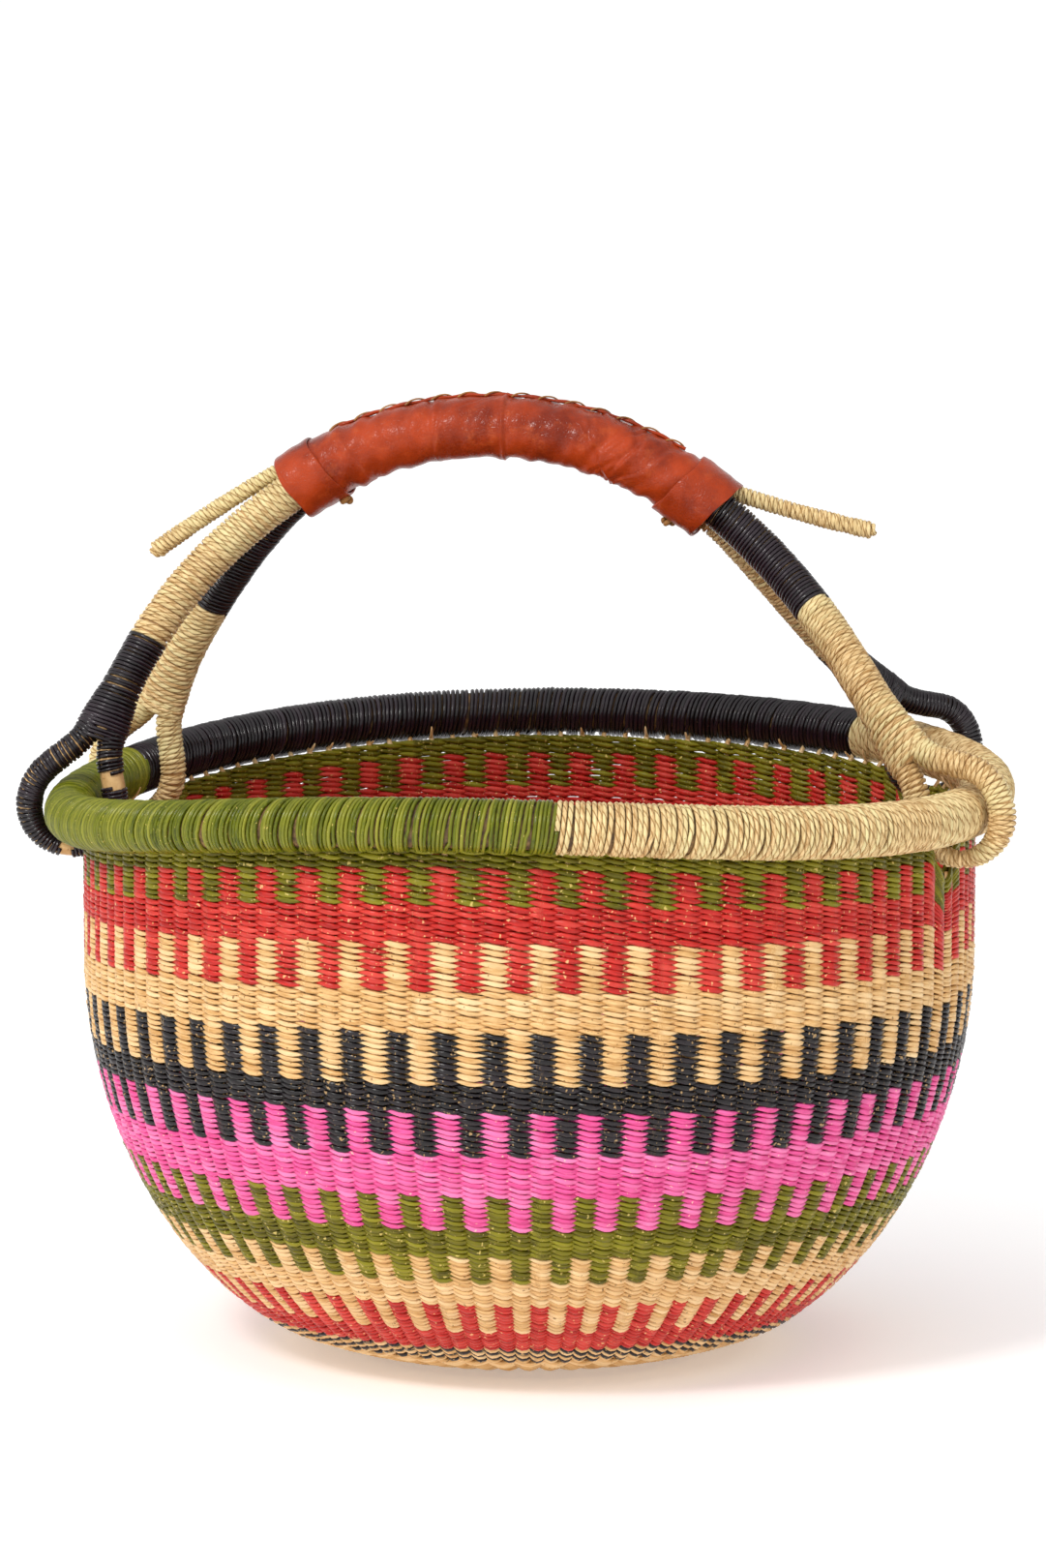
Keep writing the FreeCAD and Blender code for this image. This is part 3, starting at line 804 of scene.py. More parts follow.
    def build_stakes(self) -> None:
        """Run the stakes up the middle of the wall and on into the rim, thinning to their tips."""
        shape = self.shape
        inside = 36
        level = np.linspace(shape.base_height - 2.0, shape.wall_top + shape.rim_gap, inside)
        azimuth = math.radians(shape.first_stake) + TURN / shape.stakes * np.arange(shape.stakes)
        points, normal, _ = shape.wall(level, azimuth[:, None])
        away = np.abs(np.angle(np.exp(1j * (azimuth[:, None] - np.radians(shape.loops)))))
        clear = away.min(axis=1) * shape.rim_radius > self.loop_room
        top = points[:, -1]
        into = top + (shape.rim_point(azimuth) - top) * np.where(clear, self.run_in, 0.0)[:, None]
        points = np.concatenate([points, (top + into)[:, None] * 0.5, into[:, None]], axis=1)
        points[~clear, -2:] = points[~clear, -3:-2] + UP * np.array([0.1, 0.2])[:, None]
        normal = np.concatenate([normal, normal[:, -1:], normal[:, -1:]], axis=1)
        half = np.array([self.stake_half] * (inside - 1) + [1.5, 1.1, 0.6])
        tone = np.random.default_rng(3).uniform(size=(shape.stakes, 1))
        drift = np.random.default_rng(4).uniform(0.0, 500.0, shape.stakes)
        patch = sweep(points, normal, half * 0.8, half, 6, False, tone, drift)
        bent = np.random.default_rng(5).uniform(size=shape.stakes) < self.bent_share
        add_piece("stakes", joined([patch, self.tips(azimuth[clear & bent])]),
                  FINISHES[Dye.NATURAL], "basket", "stalk", ("stake_ends",))

    def tips(self, azimuth: Array) -> Patch:
        """Tips of some stakes that bend up against the rim's inner side, at these azimuths."""
        rng = np.random.default_rng(6)
        count, way = len(azimuth), np.linspace(0.0, 1.0, 7)
        length = rng.uniform(*self.bent_to, count)[:, None]
        turned = np.radians(self.bent_from + length * way)
        around = azimuth[:, None] + np.radians(rng.normal(0.0, 0.5, count))[:, None] * way
        away = self.shape.rim_tube + 0.8
        points = (self.shape.rim_point(around)
                  - outward(around) * (away * np.sin(turned))[..., None]
                  - UP * (away * np.cos(turned))[..., None])
        half = np.array([0.9, 0.9, 0.85, 0.8, 0.7, 0.6, 0.35])
        tone = rng.uniform(size=(count, 1))
        return sweep(points, outward(around), half * 0.7, half, 6, False, tone,
                     rng.uniform(0.0, 500.0, count))

    def build_base(self) -> None:
        """Twine the base: rings over and under stakes, fewer of them towards the middle."""
        shape = self.shape
        edge = float(shape.outline(np.array(shape.base_height)))
        patches = []
        for inner, outer, stakes in ((4.0, 22.0, 16), (22.0, 56.0, 32), (56.0, edge - 0.5, 60)):
            count = int(round((outer - inner) / self.row_pitch))
            radius = inner + (np.arange(count) + 0.5) / count * (outer - inner)
            radius = np.repeat(radius, 2)[:, None]
            stake = np.arange(stakes * 4) / 4.0
            turn = np.pi * (stake - np.tile([0.0, 1.0], count)[:, None])
            height = shape.base_rise(radius) + 0.5 * shape.wall_thickness
            path = radius - self.twist * np.sin(turn)
            lift = height - self.reach * np.cos(turn)
            centre = outward(TURN * stake / stakes) * path[..., None] + UP * lift[..., None]
            half = self.strand_half * (0.8 + 0.2 * np.abs(np.cos(turn)))
            rng = np.random.default_rng(stakes)
            tone = rng.uniform(size=(2 * count, 1))
            patches.append(sweep(centre, -UP, self.strand_thin, half, self.facets, True, tone,
                                 rng.uniform(0.0, 600.0, 2 * count)))
        patch = joined(patches)
        patch.points[:, 2] = np.maximum(patch.points[:, 2], 0.0)
        add_grass("base_strands", patch, Dye.NATURAL, "basket", "base")
        radius, angle = np.linspace(0.2, edge, 12), TURN * np.arange(60) / 60
        height = shape.base_rise(radius) + self.underside
        top = outward(angle)[None] * radius[:, None, None] + UP * height[:, None, None]
        sheet = np.concatenate([top, top[::-1] - UP * self.sheet])
        uv = np.zeros((len(sheet) + 1, 61, 2))
        uv[..., 0] = np.linspace(0.0, 60.0, 61)
        add_piece("base_stakes", grid(sheet, False, True, uv), FINISHES[Dye.NATURAL], "basket",
                  "stalk")

    def build(self) -> None:
        """Build the whole bowl."""
        self.build_wall()
        self.build_stakes()
        self.build_base()


# ---------------------------------------------------------------- wrapping

@dataclass(frozen=True)
class Wrapping:
    """A blade or cord wound round and round a hoop, leg or tail.

    Attributes:
        dye: Its finish.
        pitch: Space from one turn to the next.
        half_width: Half its width along the thing that it wraps.
        half_thick: Half its thickness.
        samples: Points to a turn.
        facets: Points round it.
        blade_turns: Turns that one blade lasts before the next, of another shade, is laid in.
        laid: Blades laid on side by side, which sets the lean of the turns.
        unevenness: Scatter of the turns' places, as a share of the pitch.
    """

    dye: Dye
    pitch: float = 1.9
    half_width: float = 1.12
    half_thick: float = 0.85
    samples: int = 20
    facets: int = 5
    blade_turns: float = 5.0
    laid: int = 3
    unevenness: float = 0.11

    def wind(self, course: Course, length: float, seed: int, handed: float = 1.0,
             shift: Callable[[Array, Array], Array] | None = None) -> Patch:
        """Wind the blade round a course.

        The middle of the blade is centre + e1 * (r1 - b) * cos(angle) + e2 * (r2 - b) * sin(angle),
        where the share along the course grows evenly with the angle.

        Args:
            course: For shares from 0 to 1, the centre, two directions and two half sizes.
            length: Length of the course in millimetres.
            seed: Seed of the hand's unevenness.
            handed: 1 or -1, the way it winds.
            shift: Change of share for a share and an angle, where turns bunch.

        Returns:
            The mesh.
        """
        rng = np.random.default_rng(seed)
        patches = []
        turns = max(2, int(round(length / (self.pitch * self.laid))))
        turn = np.arange(turns * self.samples + 1) / self.samples
        for blade in range(self.laid):
            angle = handed * TURN * (turn - blade / self.laid)
            share = turn / turns
            slip = steps_of(rng.normal(0.0, self.unevenness, turns + 2), turn)
            share = share + slip / (turns * self.laid)
            if shift is not None:
                share = share + shift(share, angle)
            centre, first, second, half_first, half_second = course(np.clip(share, 0.0, 1.0))
            lump = steps_of(rng.normal(0.0, 0.10, turns + 2), turn + 0.5)
            a, b = half_first - self.half_thick + lump, half_second - self.half_thick + lump
            cosine, sine = np.cos(angle), np.sin(angle)
            middle = centre + first * (a * cosine)[:, None] + second * (b * sine)[:, None]
            side = unit(first * (cosine / a)[:, None] + second * (sine / b)[:, None])
            width = self.half_width * (1.0 + steps_of(rng.normal(0.0, 0.08, turns + 2), turn))
            blades = rng.uniform(size=max(4, int(turns / self.blade_turns) + 2))
            tone = np.clip(0.8 * steps_of(blades, turn / self.blade_turns)
                           + 0.2 * steps_of(rng.uniform(size=turns + 2), turn), 0.0, 1.0)
            patches.append(sweep(middle, side, self.half_thick, width, self.facets, False, tone,
                                 rng.uniform(0.0, 800.0, 1)))
        return joined(patches)


@dataclass
class Rim:
    """The hoop at the mouth: a bundle of stalks wrapped in three colours.

    Attributes:
        shape: The basket's shared shape.
        bunch: Length of rim whose turns pass together through one gap between the stakes.
        swell: How much thicker the rim is in a bunch's middle than at its ends.
        gathered: Share of the way to its bunch's middle that a turn goes underneath.
    """

    shape: Shape
    bunch: float = 16.4
    swell: float = 0.2
    gathered: float = 0.10

    def course(self, start: float, end: float) -> tuple[Course, float]:
        """Stretch of the rim between two azimuths in degrees.

        Args:
            start: First azimuth.
            end: Last azimuth.

        Returns:
            The course, and its length.
        """
        low, high = math.radians(start), math.radians(end)

        def at(share: Array) -> Frames:
            azimuth = low + (high - low) * share
            centre = self.shape.rim_point(azimuth)
            local = (azimuth * self.shape.rim_radius / self.bunch) % 1.0
            radius = self.shape.rim_tube - 0.15 + self.swell * (np.sin(np.pi * local) - 0.5)
            return centre, outward(azimuth), np.broadcast_to(UP, centre.shape), radius, radius

        return at, (high - low) * self.shape.rim_radius

    def gather(self, start: float, end: float) -> Callable[[Array, Array], Array]:
        """Bunching: underneath, turns go a tenth of the way to their bunch's middle."""
        length = math.radians(end - start) * self.shape.rim_radius

        def shift(share: Array, angle: Array) -> Array:
            place = (math.radians(start) * self.shape.rim_radius + share * length) / self.bunch
            from_middle = (place % 1.0) - 0.5
            under = np.clip(0.5 - 0.5 * np.sin(angle), 0.0, 1.0) ** 1.5
            return -self.gathered * from_middle * under * self.bunch / length

        return shift

    def build(self) -> None:
        """Wrap the rim."""
        for name, start, end, seed, wrapping in (
                ("natural", -87.0, 40.0, 11,
                 Wrapping(Dye.NATURAL_CORD, 2.4, 1.1, 1.2, 22, 6, 4.0, 3)),
                ("black", 40.0, 154.0, 12,
                 Wrapping(Dye.BLACK_BLADE, 2.3, 1.05, 1.2, 24, 6, 2.0, 4, 0.09)),
                ("green", 154.0, 273.0, 13,
                 Wrapping(Dye.GREEN_BLADE, 1.9, 0.86, 1.15, 24, 6, 1.0, 5, 0.22))):
            course, length = self.course(start, end)
            patch = wrapping.wind(course, length, seed, shift=self.gather(start, end))
            add_grass(f"rim_{name}_wrapping", patch, wrapping.dye, "basket", f"rim_wrap_{name}")
        # The rim's core shows only in the gaps between turns, so its finish is painted darker as
        # shade.
        dress("rim_core", SHADED_STALKS)


# ---------------------------------------------------------------- the handle

LEG_WRAPPINGS = {
    Dye.NATURAL_CORD: Wrapping(Dye.NATURAL_CORD, 2.3, 1.1, 1.15, 20, 6, 4.0, 2),
    Dye.BLACK_BLADE: Wrapping(Dye.BLACK_BLADE, 1.9, 0.98, 1.05, 20, 5, 4.0, 2, 0.07),
}
TAIL_WRAPPING = Wrapping(Dye.NATURAL_CORD, 2.1, 1.12, 0.95, 18, 6, 20.0, 1, 0.05)


@dataclass(frozen=True)
class Leg:
    """One leg of the handle and the loop at its foot.

    Attributes:
        name: Front or back, left or right.
        azimuth: Place of its loop round the rim, in degrees.
        join: Angle on the loop where the leg meets it; 0 is outside the rim, 90 on top.
        course: The leg's direction at its foot: along the handle, across it, up.
        reach: Share of its length over which it keeps the grip's direction.
        change: Share of its length at which the wrapping changes colour.
        upper: Finish of the upper wrapping.
        lower: Finish of the lower one.
        outer_meet: Angle at which the outer tine reaches the loop, in degrees.
        inner_meet: Angle at which the inner tine does.
        bare: Shares of the inner tine between which its stalks are left bare, or nothing.
        sag: How far the leg's start hangs under the rest of its run through the grip.
    """

    name: str
    azimuth: float
    join: float
    course: tuple[float, float, float]
    reach: float
    change: float
    upper: Dye
    lower: Dye
    outer_meet: float
    inner_meet: float
    bare: tuple[float, ...] = ()
    sag: float = 0.0

    @property
    def around(self) -> Array:
        """Its loop's azimuth in radians."""
        return np.array(math.radians(self.azimuth))


LEGS = (
    Leg("front_left", 178.0, 112.0, (-0.36, -0.20, -0.91), 0.44, 0.58,
        Dye.NATURAL_CORD, Dye.BLACK_BLADE, 48.0, 176.0, (0.33, 0.42), 3.5),
    Leg("back_left", 152.0, 116.0, (-0.32, 0.22, -0.92), 0.18, 0.56,
        Dye.BLACK_BLADE, Dye.NATURAL_CORD, 52.0, 176.0),
    Leg("front_right", -24.0, 140.0, (0.62, -0.30, -0.72), 0.42, 0.36,
        Dye.BLACK_BLADE, Dye.NATURAL_CORD, 80.0, 182.0),
    Leg("back_right", 25.0, 132.0, (0.70, 0.30, -0.62), 0.20, 0.66,
        Dye.NATURAL_CORD, Dye.BLACK_BLADE, 80.0, 182.0),
)


@dataclass
class Handle:
    """Two wrapped bundles side by side in a leather grip, with four forked ends.

    Attributes:
        shape: The basket's shared shape.
        arc_radius: Radius of the grip's arc.
        crest: Height of its top.
        left_reach: Grip's end to the left of its crest.
        right_reach: Grip's end to the right.
        crest_along: Place of the crest along the handle.
        spacing: Half the distance between the two bundles.
        front_rise: Rise of the front bundle in the grip.
        back_rise: Rise of the back one.
        leg_radius: Radius of a wrapped leg.
        tine_radius: Radius of a wrapped loop.
        loop_wide: Half the loop's width at its centre line.
        loop_tall: Half its height.
        grip_tall: Half the grip's height.
        grip_deep: Half its depth.
        crotch: Share of a leg's length at which its tines part.
        flare: How much wider the leg is there, to each side.
        fork_start: Share of a leg's length at which it starts to widen.
        fork_padding: How much thicker than a tine the widened leg is, to each side.
        tine_aside: How far past the leg's widening a tine's centre line starts.
        hidden_length: Length of a tine's hidden end, under the rim.
        hidden_thinner: How much its radius shrinks there.
        hidden_inwards: How far it draws in towards the rim.
        core_inset: How much thinner than its wrapping a leg's bundle of stalks is.
        squareness: How quickly the grip's rounded sides turn into its flatter top and bottom.
        creases: Creases of the leather.
        ripples: Low waves of the leather between them.
        ripple_height: Height of one such wave.
        ridge_at: Place of its raised fold, along the arc from the crest.
        tuck_at: Place where the sleeve's left third steps down, in the same way.
        tail_radius: Radius of the stiff wrapped ends.
        tail_length: Their length outside the grip.
    """

    shape: Shape
    arc_radius: float = 160.0
    crest: float = 418.6
    left_reach: float = 91.5
    right_reach: float = 102.0
    crest_along: float = -13.5
    spacing: float = 10.0
    front_rise: float = 2.5
    back_rise: float = -3.5
    leg_radius: float = 9.2
    tine_radius: float = 6.3
    loop_wide: float = 19.8
    loop_tall: float = 21.8
    grip_tall: float = 14.4
    grip_deep: float = 21.0
    crotch: float = 0.93
    flare: float = 3.4
    fork_start: float = 0.70
    fork_padding: float = 0.9
    tine_aside: float = 1.6
    hidden_length: float = 32.0
    hidden_thinner: float = 2.1
    hidden_inwards: float = 1.9
    core_inset: float = 1.7
    squareness: float = 2.6
    creases: int = 46
    ripples: int = 30
    ripple_height: float = 0.075
    ridge_at: float = 6.6
    tuck_at: float = -63.4
    tail_radius: float = 3.9
    tail_length: float = 70.0

    def __post_init__(self) -> None:
        """Find the handle's own directions from the middles of its two pairs of loops."""
        centres = {leg.name: self.shape.rim_point(leg.around) for leg in LEGS}
        left = 0.5 * (centres["front_left"] + centres["back_left"])
        right = 0.5 * (centres["front_right"] + centres["back_right"])
        self.centre = 0.5 * (left + right)
        self.along = unit((right - left) * np.array([1.0, 1.0, 0.0]))
        self.across = np.array([-self.along[1], self.along[0], 0.0])
        self.left_angle = -math.asin(self.left_reach / self.arc_radius)
        self.right_angle = math.asin(self.right_reach / self.arc_radius)
        self.ends = {"left": (self.left_angle, -1.0), "right": (self.right_angle, 1.0)}
        self.runs = {"front": (-self.spacing, self.front_rise),
                     "back": (self.spacing, self.back_rise)}

    def grip_point(self, angle: Array, across: Array, rise: Array) -> Array:
        """Points near the grip's arc.

        Args:
            angle: Angle from the crest, positive to the right.
            across: Distance to the back of the arc.
            rise: Distance outside the arc.

        Returns:
            Points.
        """
        angle, across, rise = np.broadcast_arrays(angle, across, rise)
        radius = self.arc_radius + rise
        level = self.centre * np.array([1.0, 1.0, 0.0]) + UP * (self.crest - self.arc_radius)
        return (level + self.along * (self.crest_along + radius * np.sin(angle))[..., None]
                + self.across * across[..., None] + UP * (radius * np.cos(angle))[..., None])

    def loop_point(self, leg: Leg, angle: Array) -> Array:
        """Points of a loop's centre line, an upright oval round the rim."""
        angle = np.asarray(angle, float)
        return (self.shape.rim_point(leg.around)
                + outward(leg.around) * (self.loop_wide * np.cos(angle))[..., None]
                + UP * (self.loop_tall * np.sin(angle))[..., None])

    def leg_nodes(self, leg: Leg) -> Array:
        """Four nodes of a leg's cubic centre line, from the grip to the top of its loop."""
        side, end = leg.name.split("_")
        across, rise = self.runs[side]
        grip_angle, outwards = self.ends[end]
        start = self.grip_point(np.array(grip_angle), across, rise - leg.sag)
        leaving = outwards * (self.along * math.cos(grip_angle) - UP * math.sin(grip_angle))
        foot = self.loop_point(leg, np.array(math.radians(leg.join)))
        landing = self.along * leg.course[0] + self.across * leg.course[1] + UP * leg.course[2]
        span = float(np.linalg.norm(foot - start))
        return np.array([start, start + leaving * (leg.reach * span),
                         foot - landing * (span / 3.0), foot])

    def loop_way(self, leg: Leg, angle: float) -> Array:
        """Direction along a loop at an angle in radians, from its outside over its top."""
        return unit(UP * (self.loop_tall * math.cos(angle))
                    - outward(leg.around) * (self.loop_wide * math.sin(angle)))

    def leg_course(self, leg: Leg, first: float, last: float) -> tuple[Course, float]:
        """Part of a leg between two shares of its length.

        From the fork's start the section widens along the loop and flattens, until it is as wide
        as the two tines side by side.

        Args:
            leg: The leg.
            first: Share where the part starts, 0 at the grip.
            last: Share where it ends, 1 on the loop.

        Returns:
            The course, and its length.
        """
        nodes = self.leg_nodes(leg)
        way = self.loop_way(leg, math.radians(leg.join))
        fine = np.linspace(0.0, 1.0, 400)
        arc = travelled(bezier(nodes, fine))
        low, high = np.interp([first, last], fine, arc)

        def at(share: Array) -> Frames:
            s = np.interp(low + (high - low) * share, arc, fine)
            centre = bezier(nodes, s)
            tangent = unit(bezier(nodes, s + 0.004) - bezier(nodes, s - 0.004))
            wide = unit(way - tangent * (tangent @ way)[:, None])
            fork = eased((s - self.fork_start) / (self.crotch - self.fork_start))
            flat = self.leg_radius - self.tine_radius - self.fork_padding
            return (centre, wide, np.cross(tangent, wide), self.leg_radius + self.flare * fork,
                    self.leg_radius - flat * fork)

        return at, float(high - low)

    def tine_course(self, leg: Leg, outer: bool) -> tuple[Course, float]:
        """One tine: out of the leg, in a cubic curve onto the loop, and round it to its bottom.

        Args:
            leg: The leg.
            outer: Whether it is the tine outside the rim.

        Returns:
            The course, and its length.
        """
        nodes = self.leg_nodes(leg)
        spread = -1.0 if outer else 1.0
        meet = math.radians(leg.outer_meet if outer else leg.inner_meet)
        bottom = -0.5 * math.pi if outer else 1.5 * math.pi
        near = np.array([self.crotch - 0.07, self.crotch - 0.065])
        start, ahead = bezier(nodes, near)
        leaving = unit(ahead - start)
        aside = self.flare + self.tine_aside
        start = start + self.loop_way(leg, math.radians(leg.join)) * (spread * aside)
        landing_point = self.loop_point(leg, np.array(meet))
        landing = self.loop_way(leg, meet) * spread
        gap = float(np.linalg.norm(landing_point - start))
        link = np.array([start, start + leaving * (0.45 * gap),
                         landing_point - landing * (0.4 * gap), landing_point])
        line = np.concatenate([bezier(link, np.linspace(0.0, 1.0, 40))[:-1],
                               self.loop_point(leg, np.linspace(meet, bottom, 120))])
        arc = travelled(line)
        sideways = np.cross(UP, outward(leg.around))

        def at(share: Array) -> Frames:
            place = share * arc[-1]
            centre = along_line(line, arc, place)
            ahead, behind = (along_line(line, arc, place + step) for step in (0.8, -0.8))
            tangent = unit(ahead - behind + 1e-9)
            first = unit(sideways - tangent * (tangent @ sideways)[:, None])
            ending = 1.0 - eased((arc[-1] - place) / self.hidden_length)
            radius = self.tine_radius - self.hidden_thinner * ending
            inwards = unit(self.shape.rim_point(leg.around) - centre)
            centre = centre + inwards * (self.hidden_inwards * ending)[:, None]
            return centre, first, np.cross(tangent, first), radius, radius

        return at, float(arc[-1])

    def core_of(self, course: Course, thin: float, facets: int = 8) -> Patch:
        """Bundle of stalks inside a wrapped course, thinner than it by thin at every place."""
        centre, first, _, wide, deep = course(np.linspace(0.0, 1.0, 60))
        return sweep(centre, first, wide - thin, deep - thin, facets)

    def build_leg(self, leg: Leg, seed: int) -> list[Patch]:
        """Wrap one leg in its two colours, and wrap the two tines of its loop.

        Args:
            leg: The leg.
            seed: Seed of the hand's unevenness.

        Returns:
            The bundles of stalks inside.
        """
        upper, lower = LEG_WRAPPINGS[leg.upper], LEG_WRAPPINGS[leg.lower]
        top, top_length = self.leg_course(leg, 0.002, leg.change)
        add_grass(f"{leg.name}_upper_wrapping", upper.wind(top, top_length, seed), leg.upper,
                  "handle", f"{leg.name}_leg_wrap")
        foot, foot_length = self.leg_course(leg, leg.change, self.crotch)
        fork = [lower.wind(foot, foot_length, seed + 1)]
        cores = [self.core_of(part, self.core_inset) for part in (top, foot)]
        for outer in (True, False):
            tine, tine_length = self.tine_course(leg, outer)
            spread = replace(lower, half_width=1.12 * lower.half_width, laid=1,
                             blade_turns=6.0)
            covered = [(0.0, 1.0)]
            if leg.bare:
                covered = [(0.0, 0.93)] if outer else [(0.0, leg.bare[0]), (leg.bare[1], 1.0)]
            for low, high in covered:
                fork.append(spread.wind(stretch(tine, low, high), (high - low) * tine_length,
                                        seed + 2 + outer, -1.0 if outer else 1.0))
            cores.append(self.core_of(tine, 1.0 if leg.bare else 1.5))
        add_grass(f"{leg.name}_fork_wrapping", joined(fork), leg.lower, "handle",
                  f"{leg.name}_fork_wrap")
        return cores

    def build_bundles(self, cores: dict[str, list[Patch]]) -> None:
        """Join each side's stalks: two legs, their tines, and the run through the grip."""
        angle = np.linspace(self.left_angle, self.right_angle, 60)
        half = self.leg_radius - self.core_inset
        for side, (across, rise) in self.runs.items():
            grip = sweep(self.grip_point(angle, across, rise), self.across, half, half, 8)
            add_piece(f"{side}_stalk_bundle", joined(cores[side] + [grip]),
                      FINISHES[Dye.NATURAL], "handle", "stalk", (f"{side}_handle_core",))

    def section(self, around: Array) -> tuple[Array, Array]:
        """Grip's outline, (across, rise) at an angle: an oval with a flatter top and bottom."""
        side = np.tanh(self.squareness * np.cos(around)) / math.tanh(self.squareness)
        flat = (self.grip_deep - self.grip_tall) * side
        return flat + self.grip_tall * np.cos(around), self.grip_tall * np.sin(around)

    def leather_skin(self, angle: Array, around: Array, lift: Array) -> Array:
        """Points of the leather: the grip's outline carried along its arc, lifted off it.

        Args:
            angle: Angles from the crest.
            around: Angles round the section, 0 at the back and a quarter turn on top.
            lift: Distance outside the outline.

        Returns:
            Points, one for each.
        """
        angle, around, lift = np.broadcast_arrays(angle, around, lift)
        across, rise = self.section(around)
        length = np.hypot(across, rise)
        grow = 1.0 + lift / length
        return self.grip_point(angle, across * grow, rise * grow)

    def wrinkles(self, angle: Array, around: Array) -> Array:
        """Creases of the leather: narrow valleys that run round the grip and lean.

        Args:
            angle: Angles from the crest.
            around: Angles round the section.

        Returns:
            Heights in millimetres, zero or less in the creases.
        """
        rng = np.random.default_rng(23)
        place = angle * self.arc_radius
        height = np.zeros(np.broadcast(angle, around).shape)
        for k in range(self.creases):
            middle = rng.normal(57.0, 8.0) if k % 2 else rng.uniform(-85.0, 90.0)
            width, depth = rng.uniform(0.7, 2.2), rng.uniform(0.25, 0.95)
            turn, span = rng.uniform(0.0, TURN), rng.uniform(0.5, 1.2)
            lean = rng.normal(0.0, 6.0)
            away = np.angle(np.exp(1j * (around - turn)))
            bend = middle + lean * away + 1.5 * np.sin(2.0 * away + turn)
            across = (place - bend) / width
            valley = np.exp(-across ** 2) - 0.6 * np.exp(-(across - 2.2) ** 2)
            height = height - depth * valley * np.exp(-(away / span) ** 2)
        for _ in range(self.ripples):
            wave, rounds = rng.uniform(5.0, 22.0), rng.integers(1, 6)
            phase = rng.uniform(0.0, TURN)
            wave_at = TURN * place / wave + rounds * around + phase
            height = height + self.ripple_height * np.sin(wave_at)
        pinched = (place - self.ridge_at + 0.8 * np.sin(around)) / 0.7
        height = height + 0.7 * np.exp(-pinched ** 2) - 0.5 * np.exp(-(pinched - 2.0) ** 2)
        edge = place - self.tuck_at + 2.8 * np.sin(around)
        return height + 0.4 - 0.4 * np.tanh(edge / 0.35)

    def build_leather(self) -> None:
        """Build the sleeve, with its ends turned in, and its two end bands."""
        around = TURN * np.arange(120) / 120
        full = np.linspace(self.left_angle, self.right_angle, 330)
        turned = 6.0 / self.arc_radius
        angle = np.concatenate([full[0] + turned * np.array([2.0, 1.0]), full,
                                full[-1] - turned * np.array([1.0, 2.0])])
        lift = np.array([-2.2, -1.8, -0.5] + [0.0] * (len(full) - 2) + [-0.5, -1.8, -2.2])
        skin = np.pad(self.wrinkles(full[:, None], around), ((2, 2), (0, 0)))
        points = self.leather_skin(angle[:, None], around[None], lift[:, None] + skin - 0.4)
        uv = np.zeros((len(angle) + 1, 121, 2))
        add_leather("leather_sleeve", grid(points, False, True, uv), LEATHER, "grip_leather",
                    "grip_padding")
        for end, first, last, seed in (
                ("left", self.left_angle - 0.006, self.left_angle + 0.124, 5),
                ("right", self.right_angle - 0.130, self.right_angle + 0.006, 6)):
            self.build_band(end, first, last, around, seed)

    def build_band(self, end: str, first: float, last: float, around: Array, seed: int) -> None:
        """Build one strip of leather wound round the grip's end.

        Its profile is a closed flat oval, and its two edges wander as a cut strip's do.
        """
        rng = np.random.default_rng(seed)
        profile = TURN * np.arange(64) / 64
        along = 0.5 - 0.5 * np.sign(np.cos(profile)) * np.abs(np.cos(profile)) ** 0.5
        lift = 0.9 + 0.8 * np.sign(np.sin(profile)) * np.abs(np.sin(profile)) ** 0.4
        edges = [sum(0.008 / k * np.sin(k * around + rng.uniform(0, TURN))
                     for k in (1, 2, 3, 5)) for _ in range(2)]
        edges[end == "left"] += self.ends[end][1] * 0.03 * np.sin(around)
        angle = first + edges[0] + along[:, None] * (last - first + edges[1] - edges[0])
        place = angle * self.arc_radius
        fold = (0.35 * np.sin(place / 2.1 + 3.0 * np.sin(around + seed)) * np.sin(around - 1.0) ** 2
                + 0.2 * np.sin(place / 3.4 + 4.0 * around)
                + 0.15 * np.sin(place / 1.3 - 3.0 * around))
        points = self.leather_skin(angle, around[None], lift[:, None] + fold + 0.2)
        uv = np.zeros((65, 121, 2))
        add_leather(f"{end}_end_band", grid(points, True, True, uv), LEATHER, f"{end}_grip_band")

    def build_sewing(self) -> None:
        """Build the ridged seam on top, its whip stitches, and the two knots underneath."""
        first, last = self.left_angle + 0.16, self.right_angle - 0.16
        angle = np.linspace(first, last, 300)
        wobble = 0.5 * np.sin(angle * 41.0) + 0.3 * np.sin(angle * 97.0)
        pinch = 0.18 * np.sin(angle * self.arc_radius * TURN / 14.0)
        centre = self.grip_point(angle, wobble, self.grip_tall + 0.15 + pinch)
        half = 0.8 + pinch
        add_leather("seam_ridge", sweep(centre, UP, half, half * 1.7, 8), LEATHER, "grip_seam")
        stitches, bend = 14, np.linspace(-1.0, 1.0, 13)
        middles = np.linspace(first + 0.03, last - 0.03, stitches)[:, None]
        across, rise = 4.2 * bend, self.grip_tall - 0.1 + 1.5 * (1.0 - np.abs(bend) ** 2.4)
        lace = self.grip_point(middles + bend * 0.024, across[None], rise[None])
        add_leather("whip_stitches", sweep(lace, UP, 0.4, 0.65, 6), THONG, "grip_lacing")
        self.build_knot("left", self.left_angle + 18.5 / self.arc_radius)
        self.build_knot("right", self.right_angle - 14.0 / self.arc_radius)

